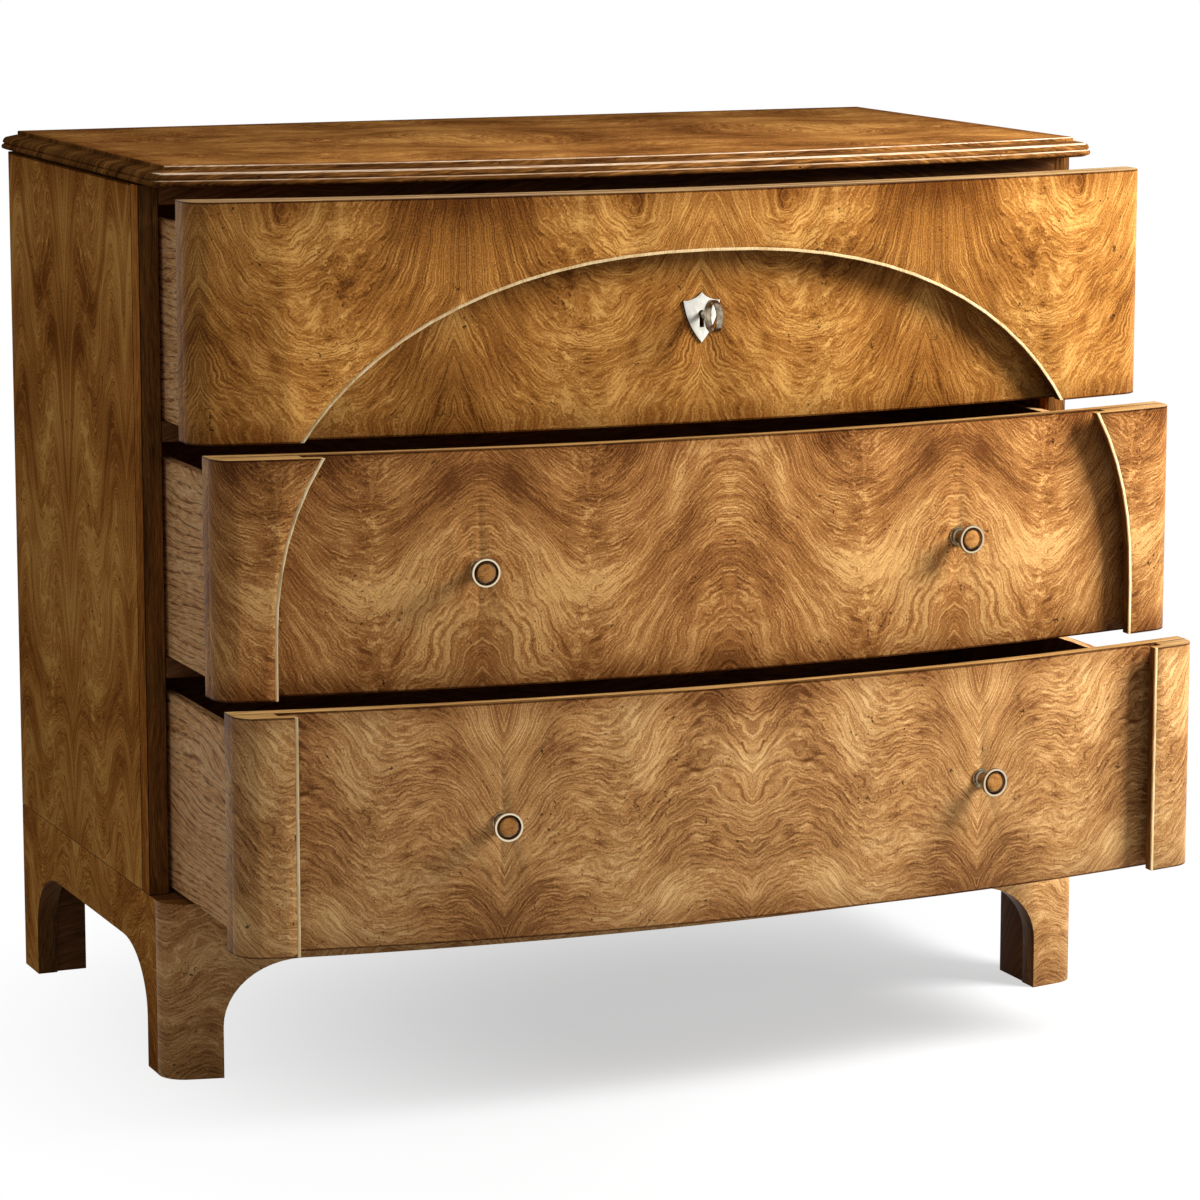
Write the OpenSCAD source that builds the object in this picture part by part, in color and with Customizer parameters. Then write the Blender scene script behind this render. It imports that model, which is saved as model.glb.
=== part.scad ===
// Bow-front chest of three long drawers on a bracket base, with its drawers standing open.
// Lengths are in millimetres. X runs along the width, Y from front to back and Z up.
// The shapes are drawn in case coordinates: X = 0 is the middle of the width, Y = 0 is the
// front line of the case at its ends and Z = 0 is the floor. placed() then moves the chest
// so that the origin lies on the floor under the middle of everything that is drawn.

/* [Case] */
// Width of the case over its sides
case_w = 1040; // [940:5:1180]
// Depth of the case from its front line to the back edge of its sides
case_d = 470; // [440:5:560]
// Height from the floor to the top surface
height = 921.5; // [880:0.5:1000]
// How far the middle of the front stands forward of its ends
bow = 59.5; // [35:0.5:80]
// Thickness of each side, which is also the width of each front stile
side_t = 21; // [18:0.5:26]
// Depth of each front stile
stile_d = 24; // [18:0.5:34]
// Thickness of the back panel
back_t = 10; // [6:0.5:14]
// Distance of the back panel inside the back edge of the sides
back_inset = 2; // [0:0.5:6]
// Thickness of the rails between and above the drawers
rail_t = 20; // [16:0.5:24]

/* [Top] */
// Thickness of the top board
top_t = 20.5; // [18:0.5:26]
// Distance of the board's edge inside the case sides
top_inset = 15.7; // [13:0.1:18]
// Distance of the board's edge in front of the case at the ends
top_front = 37; // [34:0.5:50]
// Overhang of the board behind the case
top_back = 17.5; // [10:0.5:25]
// Height of the small upright step at the edge of the board
mould_step = 4; // [3:0.5:5]
// Width of the flat part of the moulding
mould_flat_w = 10.5; // [8:0.5:12]
// Fall of the flat part of the moulding from the board outwards
mould_fall = 1.8; // [0.8:0.1:2.2]
// Radius of the upper round of the moulding
mould_round_r = 6; // [5:0.5:6.5]
// Depth of the groove below the upper round
mould_quirk = 1.5; // [0.8:0.1:2.5]
// Radius of the lower bead of the moulding
bead_r = 2.8; // [2:0.1:3]

/* [Drawer fronts] */
// Gap between the underside of the top and the upper front
top_gap = 5; // [3:0.5:8]
// Upright gap between two fronts
front_gap = 5.2; // [3:0.1:7]
// Gap between the lowest front and the base
base_gap = 1.9; // [1:0.1:4]
// Gap between a closed front and the case
closed_gap = 0.4; // [0.3:0.1:1]
// Thickness of the recessed board of each front
core_t = 16.4; // [14:0.2:20]
// Thickness of the raised surround on that board
surround_t = 25; // [22:0.5:28]
// Radius of the rounded upright edges of the fronts
edge_r = 28; // [22:0.5:30]

/* [Arch] */
// Width of each straight leg of the surround
leg_w = 56; // [46:1:70]
// Height of the straight legs above the base
leg_h = 294; // [240:1:330]
// Distance from the crown of the arch to the top of the upper front
crown_drop = 60; // [45:1:80]
// Power of the arch curve, where 2 is an ellipse and more is squarer
arch_power = 2.25; // [2:0.05:2.8]
// Thickness of the rim at the front of the surround
rim_t = 12; // [9:0.5:14]
// How far the surround is cut back behind its rim
undercut = 15; // [10:0.5:18]
// Width of the light inlaid line along the arch
string_w = 3; // [2:0.1:4]
// Depth of the inlaid line
string_d = 2; // [1:0.1:3]

/* [Drawer boxes] */
// Gap between a drawer side and the side of the case
side_play = 4; // [3:0.5:6]
// Thickness of the drawer sides
box_side_t = 12; // [9:0.5:14]
// How much lower the drawer sides are than the front
box_side_drop = 30.9; // [26:0.1:60]
// Thickness of the drawer back
box_back_t = 10; // [8:0.5:14]
// How much lower the drawer back is than the sides
box_back_drop = 10; // [4:1:20]
// Gap between a closed drawer box and the back panel
box_back_gap = 18; // [10:1:40]
// Thickness of the drawer bottom
box_bottom_t = 8; // [6:0.5:10]
// Height of the drawer bottom above the lower edge of the sides
box_bottom_up = 6; // [3:0.5:10]
// Height of the drawer sides' lower edge above the front's lower edge
box_lift = 3; // [2.6:0.1:4]
// Gap between a drawer side and the runner under it, and the guide beside it
slide_gap = 0.4; // [0.3:0.1:0.6]
// Width of the runners
runner_w = 40; // [30:1:50]
// Height of the guide strips
guide_h = 20; // [12:1:30]
// Distance of the guide strips behind the stiles and in front of the back panel
guide_inset = 6; // [4:1:20]
// How far the upper drawer stands open
open_1 = 121; // [0:1:300]
// How far the middle drawer stands open
open_2 = 193; // [0:1:300]
// How far the lower drawer stands open
open_3 = 250; // [0:1:300]

/* [Knobs] */
// Distance of each knob from the middle of the front
knob_x = 260; // [180:1:320]
// Outer radius of the knob
knob_r = 14.5; // [13:0.5:18]
// Length of the knob from the front to its rim
knob_len = 28; // [25:0.5:34]
// Thickness of the knob's head
knob_head_t = 7; // [6:0.5:8]
// Width of the rim around the knob's face
knob_rim_w = 2.7; // [2:0.1:3.2]
// Depth of the knob's face below its rim
knob_dish = 4; // [3:0.2:5]
// Radius of the wooden disc in the knob's face
knob_disc_r = 9; // [7:0.5:9.5]
// Thickness of the wooden disc
knob_disc_t = 3; // [2:0.2:3.6]
// Radius of the collar at the foot of the knob
knob_collar_r = 10; // [8:0.5:11]
// Height of that collar
knob_collar_t = 2.5; // [2:0.1:3]
// Radius of the knob's neck
knob_neck_r = 5.5; // [4.6:0.1:7]
// Radius of the screw that holds the knob
knob_screw_r = 2.5; // [2:0.1:3]
// Length of that screw inside the knob
knob_screw_in = 12; // [8:0.5:14]
// Radius of the screw's head
knob_screw_head_r = 5.5; // [4.5:0.1:7]
// Thickness of the screw's head
knob_screw_head_t = 3.5; // [2:0.1:5]

/* [Lock] */
// Height of the keyhole above the lower edge of the upper front
keyhole_up = 109.4; // [100:0.2:125]
// Radius of the round part of the keyhole
keyhole_r = 3.5; // [3.3:0.1:4]
// Width of the keyhole's slot
keyhole_slot_w = 4.5; // [3:0.1:5]
// Length of the keyhole's slot below the middle of the keyhole
keyhole_slot_l = 13.5; // [13:0.1:15]
// Width of the shield round the keyhole
shield_w = 40; // [36:0.5:46]
// Height of the shield from its upper to its lower point
shield_h = 50.5; // [46:0.5:58]
// Height of the shield's upper point above the middle of the keyhole
shield_up = 21.5; // [18:0.5:26]
// Drop of the shield's shoulders below its upper point
shield_shoulder = 8; // [6:0.5:10]
// Hollow of the shield's shoulders
shield_hollow = 2.5; // [1.5:0.1:3]
// Bulge of the shield's sides
shield_bulge = 3.5; // [2:0.1:4.5]
// Thickness of the shield
shield_t = 2; // [1.4:0.1:3]
// Width of the lock case
lock_w = 62; // [56:1:72]
// Height of the lock case below the middle of the keyhole
lock_down = 27; // [24:1:34]
// Height of the lock case above the middle of the keyhole
lock_up = 32; // [31:1:40]
// Thickness of the lock's sheet metal
lock_wall = 1.5; // [1.2:0.1:2]
// Width of the flange at each side of the lock case
lock_flange_w = 11; // [9:0.5:14]
// Radius of the lock's screws
lock_screw_r = 1.8; // [1.5:0.1:2.2]
// Radius of the heads of the lock's screws
lock_screw_head_r = 3.5; // [2.8:0.1:4]
// Length of the lock's screws in the wood
lock_screw_l = 10; // [7:0.5:12]
// Width of the bolt bar
bolt_w = 12; // [10:0.5:14]
// Thickness of the bolt bar
bolt_t = 3; // [2.5:0.1:4]
// Width of the plate at the foot of the bolt bar
bolt_plate_w = 26; // [22:1:34]
// Travel of the bolt
bolt_throw = 8; // [6:0.5:8]
// Gap between the drawn bolt and the rail above it
bolt_gap = 2; // [1:0.1:3]

/* [Key] */
// Outer radius of the key's ring
key_ring_r = 16.5; // [14:0.5:19]
// Wall of the key's ring
key_ring_wall = 3; // [2.4:0.1:4]
// Width of the band that makes the ring
key_ring_w = 7.5; // [6:0.5:9]
// Distance of the ring's middle in front of the drawer front
key_ring_out = 31; // [29:0.5:36]
// Radius of the key's shank
key_shank_r = 2.75; // [2.4:0.05:3]
// Radius of the collar between ring and shank
key_collar_r = 4.5; // [3.6:0.1:5]
// Length of that collar
key_collar_l = 4; // [2:0.5:6]
// Length of the key's bit from the middle of the shank
key_bit_l = 12; // [10:0.5:12.5]
// Width of the key's bit along the shank
key_bit_w = 5; // [3.5:0.1:6]
// Thickness of the key's bit
key_bit_t = 2.2; // [1.6:0.1:2.6]

/* [Base] */
// Height of the base
base_h = 182; // [150:1:200]
// How far the base stands forward of the closed drawer fronts
base_proud = 2.7; // [0.5:0.1:5]
// Radius of the base's rounded front corners
base_r = 29; // [24:0.5:31]
// Thickness of the base's front board
base_front_t = 26; // [23:0.5:30]
// Thickness of the base's side boards
base_side_t = 22; // [21:0.5:26]
// Thickness of the base's back board
base_back_t = 20; // [16:0.5:24]
// Height of the base's back board
base_back_h = 82; // [60:1:110]
// Thickness of the bottom board of the case
bottom_board_t = 18; // [14:0.5:22]
// Width of the front feet seen from the front
foot_w = 58; // [50:1:80]
// End of each front foot on the side, behind the front line of the case
foot_side = 15; // [10:1:40]
// Width of the back feet seen from the side
foot_back = 51; // [45:1:70]
// Height of the openings between the feet
foot_arch_h = 121; // [100:1:125]
// Width of the round at the corners of those openings
foot_round_w = 80; // [60:1:100]
// Height of the round at the corners of those openings
foot_round_h = 68; // [50:1:90]
// Width of the blocks behind the feet
block_w = 34; // [28:1:36]
// Depth of the front blocks behind the front line of the case
block_front_d = 25; // [15:1:35]
// Depth of the back blocks in front of the base's back board
block_back_d = 26; // [20:1:30]

/* [Hidden] */

// Colours
veneer = [0.62, 0.40, 0.19];
dark_veneer = [0.42, 0.26, 0.13];
polished_top = [0.52, 0.31, 0.15];
carcass_wood = [0.40, 0.27, 0.16];
ash_wood = [0.66, 0.53, 0.38];
line_wood = [0.93, 0.82, 0.60];
shield_white = [0.90, 0.87, 0.79];
brass = [0.78, 0.60, 0.28];
iron = [0.30, 0.28, 0.27];
steel = [0.62, 0.60, 0.56];

// Smoothness of the large arcs and of the small rounds
bow_fn = 720;
round_fn = 96;
small_fn = 48;
arch_steps = 20;
round_steps = 12;
profile_steps = 8;
// Steps along the bow of a board, and the angle between its ends and the rounds
bow_steps = 44;
bow_step = 0.5;
// Overlap of cutting bodies beyond the surface that they cut
cut = 1;
// Gap between hardware and the curved face that it is screwed to
seat = 0.1;
// Radial clearance of a screw in its hole
screw_play = 0.1;
// Clearance round the sliding bolt
bolt_play = 0.3;
// Depth of the mortise for the bolt beyond the thrown bolt
mortise_over = 3;
// Length of each bolt guide along the bolt, and width of its feet
bolt_guide_l = 7;
bolt_guide_foot = 6;
// Number of bolt guides, evenly spaced between the lock case and the front's upper edge
bolt_guides = 2;
// Distance of the lock's screws from the upper and lower edges of its flanges
lock_screw_edge = 8;
lock_screw_head_t = 1.3;
// Gap between the drawer front and the near edge of the key's bit
bit_gap = 1;
// Gap between the key's bit and the bolt's plate behind it
bit_bolt_gap = 0.5;
// Gap between the bolt's plate and the lock case above and below it
plate_gap = 2;
// Gap under the wooden disc in the knob's face, and groove round it
knob_disc_seat = 0.1;
knob_groove = 1;
// Softened edge of that disc
knob_disc_soft = 0.9;
// Bevel of the knob's collar
knob_collar_bevel = 1;
// Width and height of the cove between collar and neck
knob_cove = 1;
knob_cove_h = 2.5;
// Width and height of the flare from the neck into the head
knob_flare = 1.5;
knob_flare_h = 6;
// Height of the hollow under the head, and the soft edge above it
knob_under_h = 2;
knob_soft = 0.6;
// Depth of the screw's hole in the knob beyond the screw
screw_end_play = 0.5;
// How far the moulding's bead stands outside the groove above it
bead_out = 0.2;
// Bevel of the edges of the key's band
key_band_bevel = 1;

half_w = case_w / 2;
inner_w = half_w - side_t;
// Radius of the bow, the same for every front line
bow_r = (half_w * half_w + bow * bow) / (2 * bow);
top_under = height - top_t;
front_top = top_under - top_gap;
front_h = (front_top - base_h - base_gap - 2 * front_gap) / 3;
pitch = front_h + front_gap;
box_side_h = front_h - box_lift - box_side_drop;
// Lower edges of the three fronts, from the upper drawer down
front_z = [for (k = [2, 1, 0]) base_h + base_gap + k * pitch];
opening = [open_1, open_2, open_3];
// Y of the recessed face and of the outer face of a closed front at the case's ends
core_y = -closed_gap - core_t;
outer_y = core_y - surround_t;
base_y = outer_y - base_proud;
base_inner_y = base_y + base_front_t;
box_w = inner_w - side_play;
box_end = case_d - back_inset - back_t - box_back_gap;
back_y = case_d - back_inset - back_t;

arch_w = half_w - leg_w;
arch_z = base_h + leg_h;
arch_rise = front_top - crown_drop - arch_z;

keyhole_z = front_z[0] + keyhole_up;
// Back of the lock against the closed upper front, which curves away behind its flanges
lock_y = line_y(lock_w / 2 + lock_flange_w) - closed_gap + seat;
bit_y = lock_y + bit_gap;
bolt_y = bit_y + key_bit_w + bit_bolt_gap;
lock_d = bolt_y + bolt_t + bolt_play + lock_wall - lock_y;
rail_under = top_under - rail_t;
bolt_top = rail_under - bolt_gap;
bolt_foot = keyhole_z - lock_down + lock_wall + plate_gap;
bolt_plate_h = lock_down + lock_up - 2 * lock_wall - 2 * plate_gap - bolt_throw;
bolt_guide_room = front_h - keyhole_up - lock_up;
bolt_guide_gap = (bolt_guide_room - bolt_guides * bolt_guide_l) / (bolt_guides + 1);

// Turn of the face at a knob, and the face's place there when the drawer is closed
knob_turn = asin(knob_x / bow_r);
knob_y = core_y + line_y(knob_x);
knob_head_z = knob_len - knob_head_t;
knob_seat_z = knob_len - knob_dish;

// The origin lies midway between the foremost piece and the back edge of the top
knob_reach = knob_len - knob_y;
key_reach = key_ring_out + key_ring_r - core_y + bow;
front_reach = max(open_1 + key_reach, open_2 + knob_reach, open_3 + knob_reach);
middle_y = (case_d + top_back - front_reach) / 2;

// Top board: radius and half angle of its front edge
top_w = half_w - top_inset;
top_r = (top_w * top_w + bow * bow) / (2 * bow);
top_turn = asin(top_w / top_r);

// Y of the bow line at a distance x from the middle, 0 at the case's ends
function line_y(x) = bow_r - bow - sqrt(bow_r * bow_r - x * x);

// Points of a round stretch from angle a to angle b
function arc(centre, r, a, b, steps) =
    [for (i = [0:steps]) centre + r * [cos(a + (b - a) * i / steps), sin(a + (b - a) * i / steps)]];

// Centre of the arc from p to q that stands sag to the right of the line between them
function arc_centre(p, q, sag) =
    let (d = q - p, l = norm(d), r = (l * l / 4 + sag * sag) / (2 * sag))
    (p + q) / 2 - (r - sag) * [d[1], -d[0]] / l;
function arc_radius(p, q, sag) =
    let (l = norm(q - p)) (l * l / 4 + sag * sag) / (2 * sag);

// Moves the finished chest so that the origin lies under its middle
module placed(out = 0) {
    translate([0, -middle_y - out, 0])
        children();
}

// Everything behind the bow line that is moved by y
module behind_line(y) {
    translate([0, bow_r - bow + y])
        circle(r = bow_r, $fn = bow_fn);
}

// Outline of a bowed board with rounded ends, open towards the back
module bowed_plan(y, r) {
    centre_y = bow_r - bow + y;
    round_x = half_w - r;
    round_y = centre_y - sqrt(pow(bow_r - r, 2) - round_x * round_x);
    turn = asin(round_x / (bow_r - r));
    back = case_d / 2;
    polygon(concat(
        [[-half_w, back]],
        arc([-round_x, round_y], r, 180, 270 - turn, round_steps),
        arc([0, centre_y], bow_r, 270 - turn + bow_step, 270 + turn - bow_step, bow_steps),
        arc([round_x, round_y], r, 270 + turn, 360, round_steps),
        [[half_w, back]]
    ));
}

// Top board
module top_plan() {
    intersection() {
        translate([0, top_r - bow - top_front])
            circle(r = top_r, $fn = bow_fn);
        translate([-top_w, -top_front - bow - cut])
            square([2 * top_w, top_front + bow + cut + case_d + top_back]);
    }
}

module top_board() {
    color(polished_top)
        placed()
            translate([0, 0, top_under])
                linear_extrude(top_t)
                    top_plan();
}

// Section of the moulding: x runs outwards from the board's edge, y up from its underside
mould_round_c = [mould_flat_w, top_t - mould_step - mould_fall - mould_round_r];
mould_groove_x = mould_flat_w + mould_round_r - mould_quirk;
bead_c = [mould_groove_x + bead_out, mould_round_c[1] - mould_quirk - bead_r];
moulding_points = concat(
    [[0, 0], [0, top_t - mould_step]],
    arc(mould_round_c, mould_round_r, 90, 0, profile_steps),
    [[mould_groove_x, mould_round_c[1] - mould_quirk / 2]],
    arc(bead_c, bead_r, 90, -90, profile_steps),
    [[mould_flat_w, 0]]
);

module top_moulding_front() {
    color(polished_top)
        placed()
            translate([0, top_r - bow - top_front, top_under])
                rotate([0, 0, 270 - top_turn])
                    rotate_extrude(angle = 2 * top_turn, $fn = bow_fn)
                        translate([top_r, 0])
                            polygon(moulding_points);
}

// Moulding at the right side: round the front corner and straight back to the wall
module moulding_side() {
    turns = [for (i = [0:round_steps]) top_turn + (90 - top_turn) * i / round_steps];
    stations = concat(
        [for (a = turns) [top_w, -top_front, a]],
        [[top_w, case_d + top_back, 90]]
    );
    n = len(moulding_points);
    rings = [for (p = stations, q = moulding_points)
        [p[0] + q[0] * sin(p[2]), p[1] - q[0] * cos(p[2]), top_under + q[1]]];
    sides = [for (i = [0:len(stations) - 2], j = [0:n - 1])
        [i * n + j, i * n + (j + 1) % n, (i + 1) * n + (j + 1) % n, (i + 1) * n + j]];
    last = (len(stations) - 1) * n;
    ends = [[for (j = [n - 1:-1:0]) j], [for (j = [0:n - 1]) last + j]];
    polyhedron(rings, concat(sides, ends));
}

module top_moulding_left() {
    color(polished_top)
        placed()
            mirror([1, 0, 0])
                moulding_side();
}

module top_moulding_right() {
    color(polished_top)
        placed()
            moulding_side();
}

// Case
module case_side(s) {
    translate([s > 0 ? inner_w : -half_w, stile_d, base_h])
        cube([side_t, case_d - stile_d, top_under - base_h]);
}

module side_left() {
    color(dark_veneer)
        placed()
            case_side(-1);
}

module side_right() {
    color(dark_veneer)
        placed()
            case_side(1);
}

module stile(s) {
    translate([s > 0 ? inner_w : -half_w, 0, base_h])
        cube([side_t, stile_d, top_under - base_h]);
}

module stile_left() {
    color(dark_veneer)
        placed()
            stile(-1);
}

module stile_right() {
    color(dark_veneer)
        placed()
            stile(1);
}

module back_panel() {
    color(carcass_wood)
        placed()
            translate([-inner_w, back_y, base_h])
                cube([2 * inner_w, back_t, top_under - base_h]);
}

// A rail between the stiles, with its front edge on the bow line
module rail(top_z) {
    translate([0, 0, top_z - rail_t])
        linear_extrude(rail_t)
            intersection() {
                behind_line(0);
                translate([-inner_w, -bow - cut])
                    square([2 * inner_w, bow + cut + stile_d]);
            }
}

// Height of the surface that a drawer runs on
function run_z(k) = front_z[k] + box_lift - slide_gap;

module top_rail() {
    color(carcass_wood)
        placed()
            difference() {
                rail(top_under);
                translate([-bolt_w / 2 - bolt_play, bolt_y - bolt_play, rail_under - cut])
                    cube([
                        bolt_w + 2 * bolt_play,
                        bolt_t + 2 * bolt_play,
                        cut + bolt_throw - bolt_gap + mortise_over
                    ]);
            }
}

module rail_1() {
    color(carcass_wood)
        placed()
            rail(run_z(0));
}

module rail_2() {
    color(carcass_wood)
        placed()
            rail(run_z(1));
}

module bottom_board() {
    color(carcass_wood)
        placed()
            translate([0, 0, base_h - bottom_board_t])
                linear_extrude(bottom_board_t)
                    intersection() {
                        behind_line(base_inner_y);
                        translate([-half_w + base_side_t, base_inner_y - bow - cut])
                            square([
                                case_w - 2 * base_side_t,
                                case_d - base_back_t - base_inner_y + bow + cut
                            ]);
                    }
}

// The runners under the two upper drawers are as thick as the rails in front of them,
// and those under the lowest drawer are strips on the bottom board
module runners() {
    color(carcass_wood)
        placed()
            for (k = [0:2], s = [-1, 1]) {
                low = k < 2 ? run_z(k) - rail_t : base_h;
                end = k < 2 ? back_y : case_d - max(base_back_t, back_inset + back_t);
                translate([s > 0 ? inner_w - runner_w : -inner_w, stile_d, low])
                    cube([runner_w, end - stile_d, run_z(k) - low]);
            }
}

module guides() {
    guide_t = side_play - slide_gap;
    color(carcass_wood)
        placed()
            for (k = [0:2], s = [-1, 1])
                translate([s > 0 ? inner_w - guide_t : -inner_w, stile_d + guide_inset, run_z(k)])
                    cube([
                        guide_t,
                        case_d - base_back_t - stile_d - 2 * guide_inset,
                        guide_h
                    ]);
}

// Base
// One upright and the round above it, from the floor up to the opening's height
function foot_curve(x, dir) =
    concat(
        [[x, -cut]],
        [for (i = [0:round_steps])
            let (t = 90 * i / round_steps)
            [
                x + dir * foot_round_w * (1 - cos(t)),
                foot_arch_h - foot_round_h * (1 - sin(t))
            ]]
    );

function reversed(list) = [for (i = [len(list) - 1:-1:0]) list[i]];

module base_front() {
    foot_x = half_w - foot_w;
    color(veneer)
        placed()
            difference() {
                linear_extrude(base_h)
                    difference() {
                        bowed_plan(base_y, base_r);
                        behind_line(base_inner_y);
                    }
                translate([0, base_inner_y + cut, 0])
                    rotate([90, 0, 0])
                        linear_extrude(base_front_t + bow + 2 * cut)
                            polygon(concat(foot_curve(-foot_x, 1), reversed(foot_curve(foot_x, -1))));
            }
}

module base_side(s) {
    translate([s > 0 ? half_w - base_side_t : -half_w, 0, 0])
        difference() {
            translate([0, base_inner_y - bow, 0])
                cube([base_side_t, case_d - base_inner_y + bow, base_h]);
            translate([-cut, 0, 0])
                rotate([90, 0, 90])
                    linear_extrude(base_side_t + 2 * cut)
                        polygon(concat(
                            foot_curve(foot_side, 1),
                            reversed(foot_curve(case_d - foot_back, -1))
                        ));
        }
}

module base_side_fitted(s) {
    intersection() {
        base_side(s);
        linear_extrude(base_h)
            behind_line(base_inner_y);
    }
}

module base_left() {
    color(dark_veneer)
        placed()
            base_side_fitted(-1);
}

module base_right() {
    color(dark_veneer)
        placed()
            base_side_fitted(1);
}

module base_back() {
    color(carcass_wood)
        placed()
            translate([-half_w + base_side_t, case_d - base_back_t, base_h - base_back_h])
                cube([case_w - 2 * base_side_t, base_back_t, base_back_h]);
}

module base_blocks() {
    block_x = half_w - base_side_t - block_w;
    color(carcass_wood)
        placed()
            for (s = [-1, 1]) {
                translate([s > 0 ? block_x : -block_x - block_w, 0, 0]) {
                    linear_extrude(base_h - bottom_board_t)
                        intersection() {
                            translate([s > 0 ? -block_x : block_x + block_w, 0])
                                behind_line(base_inner_y);
                            translate([0, base_inner_y - bow])
                                square([block_w, block_front_d - base_inner_y + bow]);
                        }
                    translate([0, case_d - base_back_t - block_back_d, 0])
                        cube([block_w, block_back_d, base_h - bottom_board_t]);
                }
            }
}

// Drawer fronts
// The recessed board of a front, without its holes
module core(k) {
    translate([0, 0, front_z[k]])
        linear_extrude(front_h)
            difference() {
                intersection() {
                    bowed_plan(outer_y, edge_r);
                    behind_line(core_y);
                }
                behind_line(-closed_gap);
            }
}

// The arch over all three fronts, made wider by grow, cut through from front to back
module arch_body(grow) {
    w = arch_w + grow;
    rise = arch_rise + grow;
    curve = [for (i = [0:arch_steps])
        let (t = 90 * i / arch_steps)
        [w * pow(cos(t), 2 / arch_power), arch_z + rise * pow(sin(t), 2 / arch_power)]];
    left = [for (i = [arch_steps - 1:-1:0]) [-curve[i][0], curve[i][1]]];
    translate([0, cut, 0])
        rotate([90, 0, 0])
            linear_extrude(bow - outer_y + 2 * cut)
                polygon(concat([[w, base_h - cut]], curve, left, [[-w, base_h - cut]]));
}

// The space behind the outer line of the fronts when that is moved to y, over the whole height
module behind_body(y) {
    translate([0, 0, base_h - cut])
        linear_extrude(height - base_h)
            bowed_plan(y, edge_r);
}

module surround_slab(k) {
    translate([0, 0, front_z[k]])
        linear_extrude(front_h)
            difference() {
                bowed_plan(outer_y, edge_r);
                behind_line(core_y);
            }
}

module surround(k) {
    difference() {
        surround_slab(k);
        arch_body(0);
        intersection() {
            arch_body(undercut);
            behind_body(outer_y + rim_t);
        }
        difference() {
            arch_body(string_w);
            behind_body(outer_y + string_d);
        }
    }
}

module stringing(k) {
    difference() {
        intersection() {
            surround_slab(k);
            arch_body(string_w);
        }
        arch_body(0);
        behind_body(outer_y + string_d);
    }
}

// Keeps the half of the chest at the left, s = -1, or at the right, s = 1
module half(s) {
    intersection() {
        children();
        translate([s > 0 ? 0 : -case_w, outer_y - bow - cut, 0])
            cube([case_w, bow - outer_y + 2 * cut, height]);
    }
}

// Drawer boxes
module box_side(k, s) {
    translate([0, 0, front_z[k] + box_lift])
        linear_extrude(box_side_h)
            intersection() {
                behind_line(-closed_gap);
                translate([s > 0 ? box_w - box_side_t : -box_w, -bow])
                    square([box_side_t, bow + box_end]);
            }
}

module box_bottom(k) {
    w = box_w - box_side_t;
    translate([0, 0, front_z[k] + box_lift + box_bottom_up])
        linear_extrude(box_bottom_t)
            intersection() {
                behind_line(-closed_gap);
                translate([-w, -bow - cut])
                    square([2 * w, bow + cut + box_end]);
            }
}

module box_back(k) {
    w = box_w - box_side_t;
    up = box_bottom_up + box_bottom_t;
    translate([-w, box_end - box_back_t, front_z[k] + box_lift + up])
        cube([2 * w, box_back_t, box_side_h - up - box_back_drop]);
}

// Knobs
// Puts a piece on the recessed face at both knobs of drawer k, with +Z pointing outwards
module at_knobs(k) {
    for (s = [-1, 1])
        translate([s * knob_x, knob_y, front_z[k] + front_h / 2])
            rotate([0, 0, s * knob_turn])
                rotate([90, 0, 0])
                    children();
}

module knob() {
    rim_r = knob_rim_w / 2;
    difference() {
        rotate_extrude($fn = round_fn)
            polygon(concat(
                [
                    [0, seat],
                    [knob_collar_r, seat],
                    [knob_collar_r, knob_collar_t - knob_collar_bevel],
                    [knob_collar_r - knob_collar_bevel, knob_collar_t],
                    [knob_neck_r + knob_cove, knob_collar_t],
                    [knob_neck_r, knob_collar_t + knob_cove_h],
                    [knob_neck_r, knob_head_z - knob_flare_h],
                    [knob_neck_r + knob_flare, knob_head_z - knob_flare_h / 2],
                    [knob_r - knob_rim_w - knob_cove, knob_head_z],
                    [knob_r - knob_soft, knob_head_z + knob_under_h],
                    [knob_r, knob_head_z + knob_under_h + 2 * knob_soft]
                ],
                arc([knob_r - rim_r, knob_len - rim_r], rim_r, 0, 180, profile_steps),
                [
                    [knob_disc_r + knob_groove, knob_seat_z],
                    [0, knob_seat_z]
                ]
            ));
        cylinder(
            r = knob_screw_r + screw_play,
            h = knob_screw_in + screw_end_play,
            $fn = small_fn
        );
    }
}

module knob_disc() {
    rotate_extrude($fn = round_fn)
        polygon([
            [0, knob_seat_z + knob_disc_seat],
            [knob_disc_r, knob_seat_z + knob_disc_seat],
            [knob_disc_r, knob_seat_z + knob_disc_t - knob_disc_soft],
            [knob_disc_r - knob_disc_soft, knob_seat_z + knob_disc_t - knob_disc_soft / 3],
            [knob_disc_r / 2, knob_seat_z + knob_disc_t],
            [0, knob_seat_z + knob_disc_t]
        ]);
}

module knob_screw() {
    head_z = -core_t - seat;
    translate([0, 0, head_z])
        cylinder(r = knob_screw_r, h = knob_screw_in - head_z, $fn = small_fn);
    translate([0, 0, head_z - knob_screw_head_t])
        cylinder(r = knob_screw_head_r, h = knob_screw_head_t, $fn = small_fn);
}

module knobbed_core(k) {
    difference() {
        core(k);
        at_knobs(k)
            translate([0, 0, -2 * core_t])
                cylinder(r = knob_screw_r + screw_play, h = 3 * core_t, $fn = small_fn);
    }
}

// Lock
// Outline of the keyhole, with its middle at the origin
module keyhole_plan() {
    circle(r = keyhole_r, $fn = small_fn);
    translate([-keyhole_slot_w / 2, -keyhole_slot_l])
        square([keyhole_slot_w, keyhole_slot_l]);
}

// Turns an outline in X and Z into a plate from y to y + t
module upright(y, t) {
    translate([0, y + t, 0])
        rotate([90, 0, 0])
            linear_extrude(t)
                children();
}

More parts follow.
